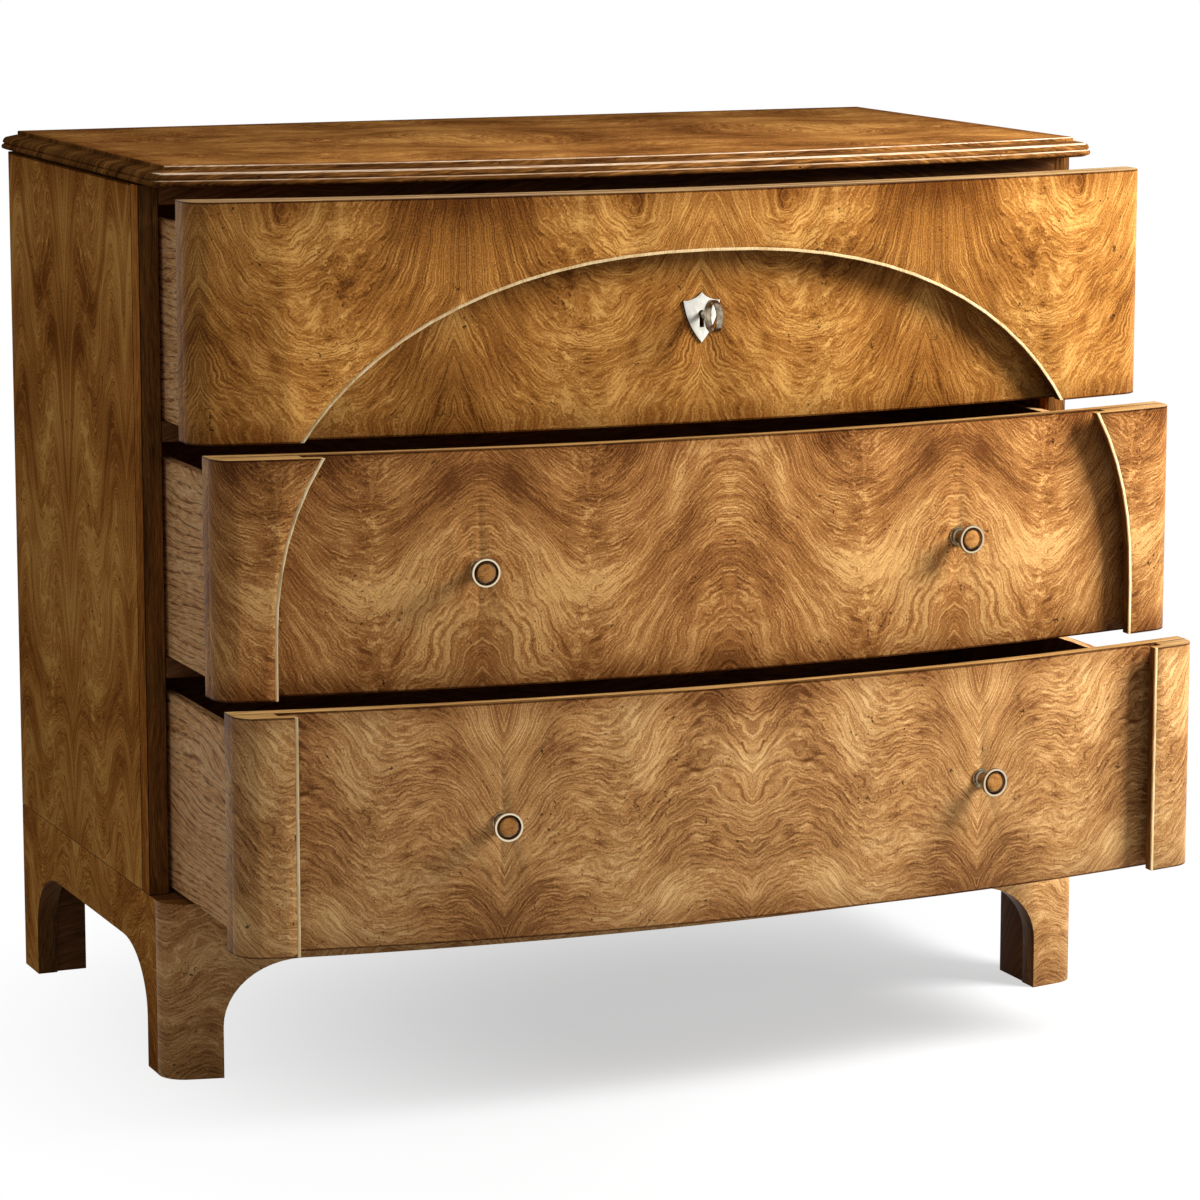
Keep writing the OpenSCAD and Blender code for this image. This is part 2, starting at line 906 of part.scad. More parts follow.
module at_lock_screws() {
    for (s = [-1, 1], z = [-lock_down + lock_screw_edge, lock_up - lock_screw_edge])
        translate([s * (lock_w + lock_flange_w) / 2, lock_y, keyhole_z + z])
            rotate([90, 0, 0])
                children();
}

module shield_plan() {
    tip = [0, shield_up];
    foot = [0, shield_up - shield_h];
    shoulder = [shield_w / 2, shield_up - shield_shoulder];
    side_c = arc_centre(foot, shoulder, shield_bulge);
    side_r = arc_radius(foot, shoulder, shield_bulge);
    hollow_c = arc_centre(tip, shoulder, shield_hollow);
    hollow_r = arc_radius(tip, shoulder, shield_hollow);
    difference() {
        intersection() {
            translate([side_c[0], side_c[1]])
                circle(r = side_r, $fn = 2 * round_fn);
            translate([-side_c[0], side_c[1]])
                circle(r = side_r, $fn = 2 * round_fn);
            polygon([
                [-shield_w, foot[1] - cut],
                [shield_w, foot[1] - cut],
                [shield_w / 2, shoulder[1]],
                tip,
                [-shield_w / 2, shoulder[1]]
            ]);
        }
        for (s = [-1, 1])
            translate([s * hollow_c[0], hollow_c[1]])
                circle(r = hollow_r, $fn = 2 * round_fn);
        keyhole_plan();
    }
}

module d1_front() {
    color(veneer)
        placed(open_1)
            difference() {
                core(0);
                translate([0, 0, keyhole_z])
                    upright(core_y - bow - cut, core_t + bow)
                        keyhole_plan();
                at_lock_screws()
                    translate([0, 0, -cut])
                        cylinder(
                            r = lock_screw_r + screw_play,
                            h = lock_screw_l + 2 * cut,
                            $fn = small_fn
                        );
            }
}

module d1_escutcheon() {
    color(shield_white)
        placed(open_1)
            translate([0, 0, keyhole_z])
                upright(core_y - bow - seat - shield_t, shield_t)
                    shield_plan();
}

module d1_lock_case() {
    low = keyhole_z - lock_down;
    high = lock_down + lock_up;
    flange_x = lock_w / 2 + lock_flange_w;
    color(iron)
        placed(open_1)
            difference() {
                union() {
                    translate([-lock_w / 2, lock_y, low])
                        cube([lock_w, lock_d, high]);
                    translate([-flange_x, lock_y, low])
                        cube([2 * flange_x, lock_wall, high]);
                }
                translate([-lock_w / 2 + lock_wall, lock_y - cut, low + lock_wall])
                    cube([lock_w - 2 * lock_wall, lock_d - lock_wall + cut, high - 2 * lock_wall]);
                translate([-bolt_w / 2 - bolt_play, bolt_y - bolt_play, keyhole_z])
                    cube([bolt_w + 2 * bolt_play, bolt_t + 2 * bolt_play, lock_up + cut]);
                at_lock_screws()
                    translate([0, 0, -lock_wall - cut])
                        cylinder(
                            r = lock_screw_r + screw_play,
                            h = lock_wall + 2 * cut,
                            $fn = small_fn
                        );
            }
}

module d1_lock_screws() {
    color(steel)
        placed(open_1)
            at_lock_screws() {
                translate([0, 0, -lock_wall])
                    cylinder(r = lock_screw_r, h = lock_wall + lock_screw_l, $fn = small_fn);
                translate([0, 0, -lock_wall - lock_screw_head_t])
                    cylinder(r = lock_screw_head_r, h = lock_screw_head_t, $fn = small_fn);
            }
}

// Staples behind the upper front that keep the bolt bar upright
module d1_bolt_guides() {
    inner_x = bolt_w / 2 + bolt_play;
    outer_x = inner_x + lock_wall;
    low = keyhole_z + lock_up + bolt_guide_gap;
    color(iron)
        placed(open_1)
            for (i = [0:bolt_guides - 1])
                translate([0, 0, low + i * (bolt_guide_gap + bolt_guide_l)])
                    linear_extrude(bolt_guide_l)
                        difference() {
                            union() {
                                translate([-outer_x, lock_y])
                                    square([2 * outer_x, lock_d]);
                                translate([-outer_x - bolt_guide_foot, lock_y])
                                    square([2 * (outer_x + bolt_guide_foot), lock_wall]);
                            }
                            translate([-inner_x, lock_y - cut])
                                square([2 * inner_x, lock_d - lock_wall + cut]);
                        }
}

module bolt() {
    color(steel)
        placed(open_1) {
            translate([-bolt_w / 2, bolt_y, bolt_foot])
                cube([bolt_w, bolt_t, bolt_top - bolt_foot]);
            translate([-bolt_plate_w / 2, bolt_y, bolt_foot])
                cube([bolt_plate_w, bolt_t, bolt_plate_h]);
        }
}

module key() {
    ring_y = core_y - bow - key_ring_out;
    wall = key_ring_wall;
    bevel = key_band_bevel;
    shank_y = ring_y + key_ring_r - wall;
    color(steel)
        placed(open_1)
            translate([0, 0, keyhole_z]) {
                translate([0, ring_y, 0])
                    rotate([0, 90, 0])
                        rotate_extrude($fn = round_fn)
                            translate([key_ring_r - wall, 0])
                                polygon([
                                    [0, -key_ring_w / 2 + bevel],
                                    [bevel, -key_ring_w / 2],
                                    [wall - bevel, -key_ring_w / 2],
                                    [wall, -key_ring_w / 2 + bevel],
                                    [wall, key_ring_w / 2 - bevel],
                                    [wall - bevel, key_ring_w / 2],
                                    [bevel, key_ring_w / 2],
                                    [0, key_ring_w / 2 - bevel]
                                ]);
                translate([0, shank_y + wall / 2, 0])
                    rotate([-90, 0, 0]) {
                        cylinder(r = key_collar_r, h = wall / 2 + key_collar_l, $fn = small_fn);
                        cylinder(
                            r = key_shank_r,
                            h = bit_y + key_bit_w - shank_y - wall / 2,
                            $fn = small_fn
                        );
                    }
                translate([-key_bit_t / 2, bit_y, -key_bit_l])
                    cube([key_bit_t, key_bit_w, key_bit_l]);
            }
}

module d1_surround() {
    color(veneer)
        placed(open_1)
            surround(0);
}

module d1_stringing() {
    color(line_wood)
        placed(open_1)
            stringing(0);
}

module d1_side_left() {
    color(ash_wood)
        placed(open_1)
            box_side(0, -1);
}

module d1_side_right() {
    color(ash_wood)
        placed(open_1)
            box_side(0, 1);
}

module d1_back() {
    color(carcass_wood)
        placed(open_1)
            box_back(0);
}

module d1_bottom() {
    color(carcass_wood)
        placed(open_1)
            box_bottom(0);
}

module d2_front() {
    color(veneer)
        placed(open_2)
            knobbed_core(1);
}

module d2_surround_left() {
    color(veneer)
        placed(open_2)
            half(-1)
                surround(1);
}

module d2_surround_right() {
    color(veneer)
        placed(open_2)
            half(1)
                surround(1);
}

module d2_stringing_left() {
    color(line_wood)
        placed(open_2)
            half(-1)
                stringing(1);
}

module d2_stringing_right() {
    color(line_wood)
        placed(open_2)
            half(1)
                stringing(1);
}

module d2_side_left() {
    color(ash_wood)
        placed(open_2)
            box_side(1, -1);
}

module d2_side_right() {
    color(ash_wood)
        placed(open_2)
            box_side(1, 1);
}

module d2_back() {
    color(carcass_wood)
        placed(open_2)
            box_back(1);
}

module d2_bottom() {
    color(carcass_wood)
        placed(open_2)
            box_bottom(1);
}

module d2_knobs() {
    color(brass)
        placed(open_2)
            at_knobs(1)
                knob();
}

module d2_knob_discs() {
    color(dark_veneer)
        placed(open_2)
            at_knobs(1)
                knob_disc();
}

module d2_knob_screws() {
    color(steel)
        placed(open_2)
            at_knobs(1)
                knob_screw();
}

module d3_front() {
    color(veneer)
        placed(open_3)
            knobbed_core(2);
}

module d3_surround_left() {
    color(veneer)
        placed(open_3)
            half(-1)
                surround(2);
}

module d3_surround_right() {
    color(veneer)
        placed(open_3)
            half(1)
                surround(2);
}

module d3_stringing_left() {
    color(line_wood)
        placed(open_3)
            half(-1)
                stringing(2);
}

module d3_stringing_right() {
    color(line_wood)
        placed(open_3)
            half(1)
                stringing(2);
}

module d3_side_left() {
    color(ash_wood)
        placed(open_3)
            box_side(2, -1);
}

module d3_side_right() {
    color(ash_wood)
        placed(open_3)
            box_side(2, 1);
}

module d3_back() {
    color(carcass_wood)
        placed(open_3)
            box_back(2);
}

module d3_bottom() {
    color(carcass_wood)
        placed(open_3)
            box_bottom(2);
}

module d3_knobs() {
    color(brass)
        placed(open_3)
            at_knobs(2)
                knob();
}

module d3_knob_discs() {
    color(dark_veneer)
        placed(open_3)
            at_knobs(2)
                knob_disc();
}

module d3_knob_screws() {
    color(steel)
        placed(open_3)
            at_knobs(2)
                knob_screw();
}

top_board();
top_moulding_front();
top_moulding_left();
top_moulding_right();
side_left();
side_right();
stile_left();
stile_right();
back_panel();
top_rail();
rail_1();
rail_2();
bottom_board();
runners();
guides();
base_front();
base_left();
base_right();
base_back();
base_blocks();
d1_front();
d1_surround();
d1_stringing();
d1_side_left();
d1_side_right();
d1_back();
d1_bottom();
d1_escutcheon();
d1_lock_case();
d1_lock_screws();
d1_bolt_guides();
key();
bolt();
d2_front();
d2_surround_left();
d2_surround_right();
d2_stringing_left();
d2_stringing_right();
d2_side_left();
d2_side_right();
d2_back();
d2_bottom();
d2_knobs();
d2_knob_discs();
d2_knob_screws();
d3_front();
d3_surround_left();
d3_surround_right();
d3_stringing_left();
d3_stringing_right();
d3_side_left();
d3_side_right();
d3_back();
d3_bottom();
d3_knobs();
d3_knob_discs();
d3_knob_screws();
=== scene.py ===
# %% [markdown]
# A bow-front chest of three long drawers, built round its measured frame. The frame brings every
# board at its true size and place. This lesson gives those boards soft edges, veneer, lacquer and
# light. Everything is made by mesh code and node trees, so any value can be changed and run again.

# %% Start: load the frame
import bmesh
import bpy
import math
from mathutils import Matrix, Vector


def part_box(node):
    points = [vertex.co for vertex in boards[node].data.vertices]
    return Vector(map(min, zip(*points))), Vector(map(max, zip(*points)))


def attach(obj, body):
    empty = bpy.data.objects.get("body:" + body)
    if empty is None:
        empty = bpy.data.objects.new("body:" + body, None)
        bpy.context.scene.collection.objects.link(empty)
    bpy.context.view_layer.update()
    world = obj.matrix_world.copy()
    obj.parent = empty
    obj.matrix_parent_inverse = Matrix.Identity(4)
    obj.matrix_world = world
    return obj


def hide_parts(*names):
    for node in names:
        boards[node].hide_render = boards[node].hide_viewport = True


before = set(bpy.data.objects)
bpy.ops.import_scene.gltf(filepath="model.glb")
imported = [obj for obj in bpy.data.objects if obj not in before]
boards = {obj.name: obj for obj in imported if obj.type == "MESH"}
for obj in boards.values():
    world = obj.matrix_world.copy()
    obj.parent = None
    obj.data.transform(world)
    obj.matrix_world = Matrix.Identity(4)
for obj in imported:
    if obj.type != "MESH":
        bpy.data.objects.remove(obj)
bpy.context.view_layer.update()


# %% [markdown]
# The camera. The photograph was taken from the left with the chest standing level. The same place
# is used here, with the camera tilted down a little, because a shifted lens would push every other
# view out of the picture.

# %% Camera
camera_place = (-1.8595, -4.42785, 1.27853)
camera_turn = 22.84
camera_tilt = 9.92

camera_data = bpy.data.cameras.new("camera")
camera_data.lens = 138.0
camera_data.sensor_width = 36.0
camera_data.clip_end = 100.0
camera = bpy.data.objects.new("camera", camera_data)
camera.location = camera_place
camera.rotation_euler = (math.radians(90 - camera_tilt), 0, math.radians(-camera_turn))
bpy.context.scene.collection.objects.link(camera)
bpy.context.scene.camera = camera
print("camera at", camera_place, "lens", camera_data.lens)

# %% [markdown]
# Node trees get long, so small helpers keep them readable. One adds a node and feeds its inputs
# with constants or other nodes' outputs, and the others do one step of arithmetic each.

# %% Helpers: nodes and arithmetic
def feed(tree, socket, value):
    """Gives an input a constant or another node's output."""
    if isinstance(value, bpy.types.NodeSocket):
        tree.links.new(value, socket)
    else:
        socket.default_value = value


def put(tree, kind, settings=None, feeds=None):
    """Adds a node, sets its choices and feeds its inputs."""
    made = tree.nodes.new(kind)
    for key, value in (settings or {}).items():
        setattr(made, key, value)
    for key, value in (feeds or {}).items():
        feed(tree, made.inputs[key], value)
    return made


def calc(tree, operation, a, b=0.0, c=0.0):
    """One step of arithmetic between outputs or numbers."""
    return put(tree, "ShaderNodeMath", {"operation": operation}, {0: a, 1: b, 2: c}).outputs[0]


def add(tree, a, b):
    """a plus b."""
    return calc(tree, "ADD", a, b)


def sub(tree, a, b):
    """a minus b."""
    return calc(tree, "SUBTRACT", a, b)


def mul(tree, a, b):
    """a times b."""
    return calc(tree, "MULTIPLY", a, b)


def div(tree, a, b):
    """a divided by b."""
    return calc(tree, "DIVIDE", a, b)


def mul_add(tree, a, b, c):
    """a times b, plus c."""
    return calc(tree, "MULTIPLY_ADD", a, b, c)


print("one step of arithmetic is a", bpy.types.ShaderNodeMath.bl_rna.name, "node")

# %% [markdown]
# Steps that come back. Spreading a value over a range, noise at a place, mixing two colours and
# drawing growth lines are needed in almost every wood, so each has its own short function.

# %% Helpers: steps that come back
def shaded(tree, value, low, high, out_low=0.0, out_high=1.0):
    """Spreads value from low..high to out_low..out_high with soft ends."""
    feeds = {"Value": value, "From Min": low, "From Max": high}
    feeds.update({"To Min": out_low, "To Max": out_high})
    made = put(tree, "ShaderNodeMapRange", {"interpolation_type": "SMOOTHSTEP"}, feeds)
    return made.outputs["Result"]


def noise(tree, place, scale, detail=2.0, roughness=0.5):
    """A noise value from 0 to 1 at a place."""
    feeds = {"Vector": place, "Scale": scale, "Detail": detail, "Roughness": roughness}
    return put(tree, "ShaderNodeTexNoise", None, feeds).outputs["Fac"]


def joined(tree, x, y, z=0.0):
    """Three values as one vector."""
    return put(tree, "ShaderNodeCombineXYZ", None, {"X": x, "Y": y, "Z": z}).outputs[0]


def blended(tree, kind, share, a, b):
    """Two colours blended in one of the usual ways."""
    settings = {"data_type": "RGBA", "blend_type": kind}
    return put(tree, "ShaderNodeMix", settings, {"Factor": share, 6: a, 7: b}).outputs[2]


def split(tree, place):
    """The X, Y and Z of a place."""
    return put(tree, "ShaderNodeSeparateXYZ", None, {0: place}).outputs


def shifted(tree, place, by):
    """A place moved by a vector."""
    return put(tree, "ShaderNodeVectorMath", {"operation": "ADD"}, {0: place, 1: by}).outputs[0]


def distance(tree, a, b):
    """The distance between two places."""
    feeds = {0: a, 1: b}
    return put(tree, "ShaderNodeVectorMath", {"operation": "DISTANCE"}, feeds).outputs["Value"]


def bell(tree, x):
    """A soft bump: 1 where x is 0, and almost 0 from 2 on."""
    return calc(tree, "EXPONENT", mul(tree, mul(tree, x, x), -1.0))


def ring_lines(tree, count, where):
    """Thin growth lines, one for each whole step of count, drawn where the mask is."""
    ring = calc(tree, "SINE", mul(tree, count, 2 * math.pi))
    return mul(tree, shaded(tree, ring, 0.1, 1.0), where)


def object_place(tree):
    """The place on the object itself, which moves with it."""
    return put(tree, "ShaderNodeTexCoord").outputs["Object"]


def map_place(tree):
    """The place in the map that the boards of the fronts carry."""
    return put(tree, "ShaderNodeUVMap", {"uv_map": "board_map"}).outputs[0]


def socket_kind(value):
    """The kind of socket that holds a number, a place or a colour."""
    if isinstance(value, float):
        return "NodeSocketFloat"
    return "NodeSocketVector" if len(value) == 3 else "NodeSocketColor"


def group_with(name, takes, gives):
    """An empty shader group with named inputs and outputs, and its two end nodes."""
    tree = bpy.data.node_groups.new(name, "ShaderNodeTree")
    for label, value in takes.items():
        kind = socket_kind(value)
        socket = tree.interface.new_socket(name=label, in_out="INPUT", socket_type=kind)
        socket.default_value = value
    for label in gives:
        kind = "NodeSocketColor" if label == "Colour" else "NodeSocketFloat"
        tree.interface.new_socket(name=label, in_out="OUTPUT", socket_type=kind)
    start = tree.nodes.new("NodeGroupInput")
    end = tree.nodes.new("NodeGroupOutput")
    return tree, start.outputs, end.inputs


def use(tree, group, **values):
    """Places a group in a tree and sets its named inputs, written with _ for a space."""
    made = put(tree, "ShaderNodeGroup", {"node_tree": group})
    for key, value in values.items():
        feed(tree, made.inputs[key.replace("_", " ")], value)
    return made.outputs


origin = (0.0, 0.0, 0.0)
print("a colour goes into a", socket_kind((1, 1, 1, 1)))

# %% [markdown]
# Figured veneer. Matched leaves are cut one after another from the fork of a tree and opened like
# a book, so the figure mirrors at every seam. A picture of it could be pasted on, but a rule stays
# sharp and can be changed. The growth lines are the level lines of a height over the leaf: it
# follows a profile from seam to seam, has one swirl, and soft noise pushes it about.

# %% Group: the figure of matched veneer leaves
figure_inputs = {
    "Board Map": origin, "First Seam": 0.0, "Leaf Width": 0.258, "Wave": 0.02, "Wave Length": 0.62,
    "Wave Crest": 0.18, "First Rise": 0.0, "First Power": 6.0, "Last Rise": 0.0, "Last Power": 6.0,
    "Growth": 0.0, "Swirl": 0.0, "Swirl Place": (0.23, 0.15, 0.0), "Swirl Size": 0.06,
    "Burl Place": 0.14, "Burl": 0.5, "Drift": 0.12, "Seed": 0.0,
}
veneer_figure, given, result = group_with(
    "veneer_figure", figure_inputs, ["Broad", "Fine", "Rings", "Pores", "Glow"])
t = veneer_figure
other_wood = (3.1, 7.7, 1.9)
burl_width = 0.016
rings_per_metre = 118.0
spot = split(t, given["Board Map"])
from_seam = sub(t, spot["X"], given["First Seam"])
across = calc(t, "PINGPONG", from_seam, given["Leaf Width"])
share = div(t, across, given["Leaf Width"])
leaf = joined(t, across, spot["Y"], given["Seed"])
leaf_far = shifted(t, leaf, other_wood)
wide_drift = sub(t, noise(t, leaf, 6.0, 1.5), 0.5)
small_drift = sub(t, noise(t, leaf_far, 24.0), 0.5)
shiver = sub(t, noise(t, leaf_far, 120.0, 2.0, 0.6), 0.5)

# the profile from seam to seam: a wave, and a rise towards each seam
turn = div(t, sub(t, share, given["Wave Crest"]), given["Wave Length"])
wave = mul(t, calc(t, "COSINE", mul(t, turn, 2 * math.pi)), given["Wave"])
to_first = calc(t, "POWER", sub(t, 1.0, share), given["First Power"])
to_last = calc(t, "POWER", share, given["Last Power"])
profile = mul_add(t, to_first, given["First Rise"], wave)
profile = mul_add(t, to_last, given["Last Rise"], profile)
profile = mul(t, profile, mul_add(t, given["Growth"], spot["Y"], 1.0))

# one swirl, and a band of burl where the fibres turn
reach = distance(t, joined(t, across, spot["Y"]), given["Swirl Place"])
swirl = bell(t, div(t, reach, given["Swirl Size"]))
off_burl = sub(t, across, given["Burl Place"])
off_burl = mul_add(t, small_drift, 0.09, off_burl)
burl = mul(t, bell(t, div(t, off_burl, burl_width)), given["Burl"])

# the height whose level lines are the growth lines
level = sub(t, spot["Y"], profile)
level = sub(t, level, mul(t, swirl, given["Swirl"]))
level = mul_add(t, wide_drift, given["Drift"], level)
level = mul_add(t, small_drift, 0.028, level)
level = mul_add(t, shiver, mul_add(t, burl, 0.03, 0.005), level)
side = mul_add(t, shiver, 0.012, across)


def figure_noise(wide, high, roughness=0.5, apart=0.0):
    """Noise that follows the lines. wide and high are its steps per metre along and across them."""
    deep = add(t, given["Seed"], apart)
    place = joined(t, mul(t, side, wide), mul(t, level, high), deep)
    return noise(t, place, 1.0, 2.0, roughness)


broad = mul(t, figure_noise(7.0, 17.0), 0.4)
broad = mul_add(t, figure_noise(24.0, 90.0, apart=2.0), 0.19, broad)
broad = mul_add(t, noise(t, leaf_far, 8.0), 0.41, broad)
t.links.new(broad, result["Broad"])
fibre = mul(t, figure_noise(60.0, 400.0, 0.6), 0.66)
fibre = mul_add(t, noise(t, leaf_far, 480.0, 2.0, 0.6), 0.34, fibre)
t.links.new(fibre, result["Fine"])
where_rings = shaded(t, figure_noise(7.0, 16.0, apart=4.0), 0.42, 0.56)
uneven = figure_noise(16.0, 60.0, apart=8.0)
rings = mul_add(t, uneven, 2.2, mul(t, level, rings_per_metre))
t.links.new(ring_lines(t, rings, where_rings), result["Rings"])
t.links.new(figure_noise(190.0, 760.0, 0.6, 12.0), result["Pores"])
lumps = shaded(t, noise(t, leaf, 75.0, 3.0, 0.6), 0.5, 0.66)
t.links.new(mul(t, burl, lumps), result["Glow"])
print("veneer_figure:", len(t.nodes), "nodes")

# %% [markdown]
# Straight-grained wood. Solid boards and plain veneer show long growth bands, short dark pores and
# a slow change of tone. The same group serves every such board: the grain runs along X of the
# place that it is given, and the material turns that place for upright or deep boards.

# %% Group: straight grain
grain_inputs = {"Place": origin, "Band Size": 0.012, "Stretch": 14.0, "Waver": 0.01, "Seed": 0.0}
straight_grain, given, result = group_with(
    "straight_grain", grain_inputs, ["Broad", "Fine", "Rings", "Pores"])
t = straight_grain
spot = split(t, given["Place"])
slow_place = joined(t, spot["X"], mul(t, spot["Y"], 3.0), given["Seed"])
slow = sub(t, noise(t, slow_place, 2.4), 0.5)
over = mul_add(t, slow, mul(t, given["Waver"], 12.0), spot["Y"])
over = add(t, over, mul(t, spot["Z"], 0.7))
along = div(t, spot["X"], given["Stretch"])
per_band = div(t, 1.0, given["Band Size"])


def grain_noise(finer, detail, roughness, apart=0.0):
    """Noise stretched along the grain, finer times as small as one band."""
    step = mul(t, per_band, finer)
    deep = add(t, given["Seed"], apart)
    place = joined(t, mul(t, along, step), mul(t, over, step), deep)
    return noise(t, place, 1.0, detail, roughness)


broad = mul(t, grain_noise(1.0, 4.0, 0.55), 0.6)
t.links.new(mul_add(t, grain_noise(0.25, 3.0, 0.5, 4.0), 0.4, broad), result["Broad"])
t.links.new(grain_noise(6.0, 3.0, 0.65, 8.0), result["Fine"])
uneven = grain_noise(0.5, 2.0, 0.5, 12.0)
rings = mul_add(t, uneven, 2.0, mul(t, over, per_band))
dashes = shaded(t, grain_noise(4.0, 2.0, 0.6, 16.0), 0.42, 0.56)
t.links.new(ring_lines(t, rings, dashes), result["Rings"])
t.links.new(grain_noise(20.0, 2.0, 0.6, 20.0), result["Pores"])
print("straight_grain:", len(t.nodes), "nodes")

# %% [markdown]
# From grain to colour. The groups for veneer and for straight grain give only values. This group
# turns them into a colour between a dark, a middle and a light tone, and into a height for the
# bump, so that every wood is one recipe of tones and strengths.

# %% Group: grain values to wood colour
colour_inputs = {
    "Broad": 0.5, "Fine": 0.5, "Rings": 0.0, "Pores": 0.5, "Glow": 0.0,
    "Dark": (0.10, 0.04, 0.012, 1), "Middle": (0.36, 0.16, 0.045, 1), "Light": (0.68, 0.38, 0.12, 1),
    "Contrast": 1.0, "Fine Contrast": 1.0, "Ring Depth": 0.2, "Pore Depth": 0.35,
}
wood_colour, given, result = group_with("wood_colour", colour_inputs, ["Colour", "Height"])
t = wood_colour
ring_stain = (0.3, 0.18, 0.1, 1)
pore_stain = (0.25, 0.15, 0.09, 1)
broad = mul(t, sub(t, given["Broad"], 0.5), given["Contrast"])
fine = mul(t, sub(t, given["Fine"], 0.5), given["Fine Contrast"])
mixed = add(t, broad, fine)
mixed = mul_add(t, given["Glow"], 0.34, mixed)
low_part = shaded(t, mixed, -0.26, 0.04)
high_part = shaded(t, mixed, -0.04, 0.26)
base = blended(t, "MIX", low_part, given["Dark"], given["Middle"])
base = blended(t, "MIX", high_part, base, given["Light"])
ring_mask = mul(t, given["Rings"], given["Ring Depth"])
ringed = blended(t, "MULTIPLY", ring_mask, base, ring_stain)
pore_mask = mul(t, shaded(t, given["Pores"], 0.56, 0.7), given["Pore Depth"])
pored = blended(t, "MULTIPLY", pore_mask, ringed, pore_stain)
t.links.new(pored, result["Colour"])
t.links.new(sub(t, given["Fine"], pore_mask), result["Height"])
print("wood_colour:", len(t.nodes), "nodes")

# %% [markdown]
# Stain and age. The maker rubbed a dark stain into the borders of each board, a fine dark line
# runs along every rim, and small dark flecks are all over the wood. All three are colours laid
# over the finished grain, so one more group adds them at the end.

# %% Group: flecks, dark borders and the line along a rim
age_inputs = {
    "Colour": (0.5, 0.3, 0.1, 1), "Place": origin, "Border Distance": 0.1, "Border Strength": 0.5,
    "Rim Line": 0.0, "Fleck Amount": 0.5,
}
age_marks, given, result = group_with("age_marks", age_inputs, ["Colour"])
t = age_marks
border_stain = (0.36, 0.22, 0.12, 1)
rim_stain = (0.12, 0.06, 0.03, 1)
fleck_stain = (0.02, 0.008, 0.004, 1)
border_width = 0.03
patchy = noise(t, given["Place"], 14.0, 3.0, 0.6)
near = div(t, given["Border Distance"], border_width)
near = add(t, near, mul(t, sub(t, patchy, 0.5), 1.1))
border = mul(t, shaded(t, near, 1.0, 0.0), given["Border Strength"])
stained = blended(t, "MULTIPLY", border, given["Colour"], border_stain)
rim_line = shaded(t, given["Border Distance"], 0.0022, 0.0012)
rim_line = mul(t, rim_line, given["Rim Line"])
stained = blended(t, "MULTIPLY", rim_line, stained, rim_stain)
coarse = shaded(t, noise(t, given["Place"], 31.0, 1.0), 0.6, 0.65)
fine = shaded(t, noise(t, given["Place"], 230.0, 2.0, 0.6), 0.63, 0.67)
fleck = mul(t, mul(t, coarse, fine), given["Fleck Amount"])
t.links.new(blended(t, "MIX", fleck, stained, fleck_stain), result["Colour"])
print("age_marks:", len(t.nodes), "nodes")

# %% [markdown]
# Wood materials. Two helpers build every wood: one for figured veneer and one for straight grain.
# A finish is then a short recipe: where the grain runs, its three tones, its gloss and its stain.
# The boards of the fronts carry a map in metres (along the curved face, and up from their lower
# edge), so the figure follows the rounded ends like real veneer does.

# %% Helpers for wood materials
def new_material(name):
    """A material with an empty node tree that only has its output."""
    made = bpy.data.materials.new(name)
    made.use_nodes = True
    made.node_tree.nodes.clear()
    made.node_tree.nodes.new("ShaderNodeOutputMaterial").name = "Material Output"
    return made


def close_with(made, shader):
    """Joins a shader to the output of its material."""
    tree = made.node_tree
    tree.links.new(shader.outputs[0], tree.nodes["Material Output"].inputs["Surface"])


def coloured(tree, grain, shades, **values):
    """Turns what a grain group gives into the colour and height of a wood of three tones."""
    values.update({name: grain[name] for name in grain.keys()})
    return use(tree, wood_colour, Dark=shades[0], Middle=shades[1], Light=shades[2], **values)


def lacquered(made, colour, height, roughness, coat, gloss):
    """Closes a wood material: colour under lacquer, with the grain just felt in it."""
    tree = made.node_tree
    relief = {"Strength": 0.35, "Distance": 0.0003, "Height": height}
    bump = put(tree, "ShaderNodeBump", None, relief)
    shader = put(tree, "ShaderNodeBsdfPrincipled", None, {
        "Base Color": colour, "Roughness": roughness, "Coat Weight": coat, "Coat Roughness": 0.16,
        "Specular IOR Level": gloss, "Normal": bump.outputs[0],
    })
    close_with(made, shader)


def veneer(name, shades, rims, on=None, contrast=1.35, rings=0.2, border=0.45, roughness=0.44,
           gloss=0.05, fold=None, bow=0.0, ends=9.0, **figure):
    """Matched figured veneer. rims are the two heights where it ends, on the axes that carry it."""
    # fold mirrors it at a height, bow bends the lower rim, and ends is the half length of the board
    made = new_material(name)
    t = made.node_tree
    place = object_place(t)
    axis = split(t, map_place(t) if on is None else place)
    along, up = (axis[on[0]], axis[on[1]]) if on else (axis["X"], axis["Y"])
    folded = up if fold is None else calc(t, "ABSOLUTE", sub(t, up, fold))
    grain = use(t, veneer_figure, Board_Map=joined(t, along, folded), **figure)
    wood = coloured(t, grain, shades, Contrast=contrast, Fine_Contrast=1.2, Ring_Depth=rings)
    to_low = sub(t, up, rims[0])
    to_low = mul_add(t, mul(t, along, along), -bow, to_low)
    to_rim = calc(t, "MINIMUM", to_low, sub(t, rims[1], up))
    to_end = sub(t, ends, calc(t, "ABSOLUTE", along))
    to_rim = calc(t, "MINIMUM", to_rim, to_end)
    aged = use(t, age_marks, Colour=wood["Colour"], Place=place, Border_Distance=to_rim,
               Border_Strength=border, Rim_Line=0.8, Fleck_Amount=0.8)
    lacquered(made, aged["Colour"], wood["Height"], roughness, 0.0, gloss)
    return made


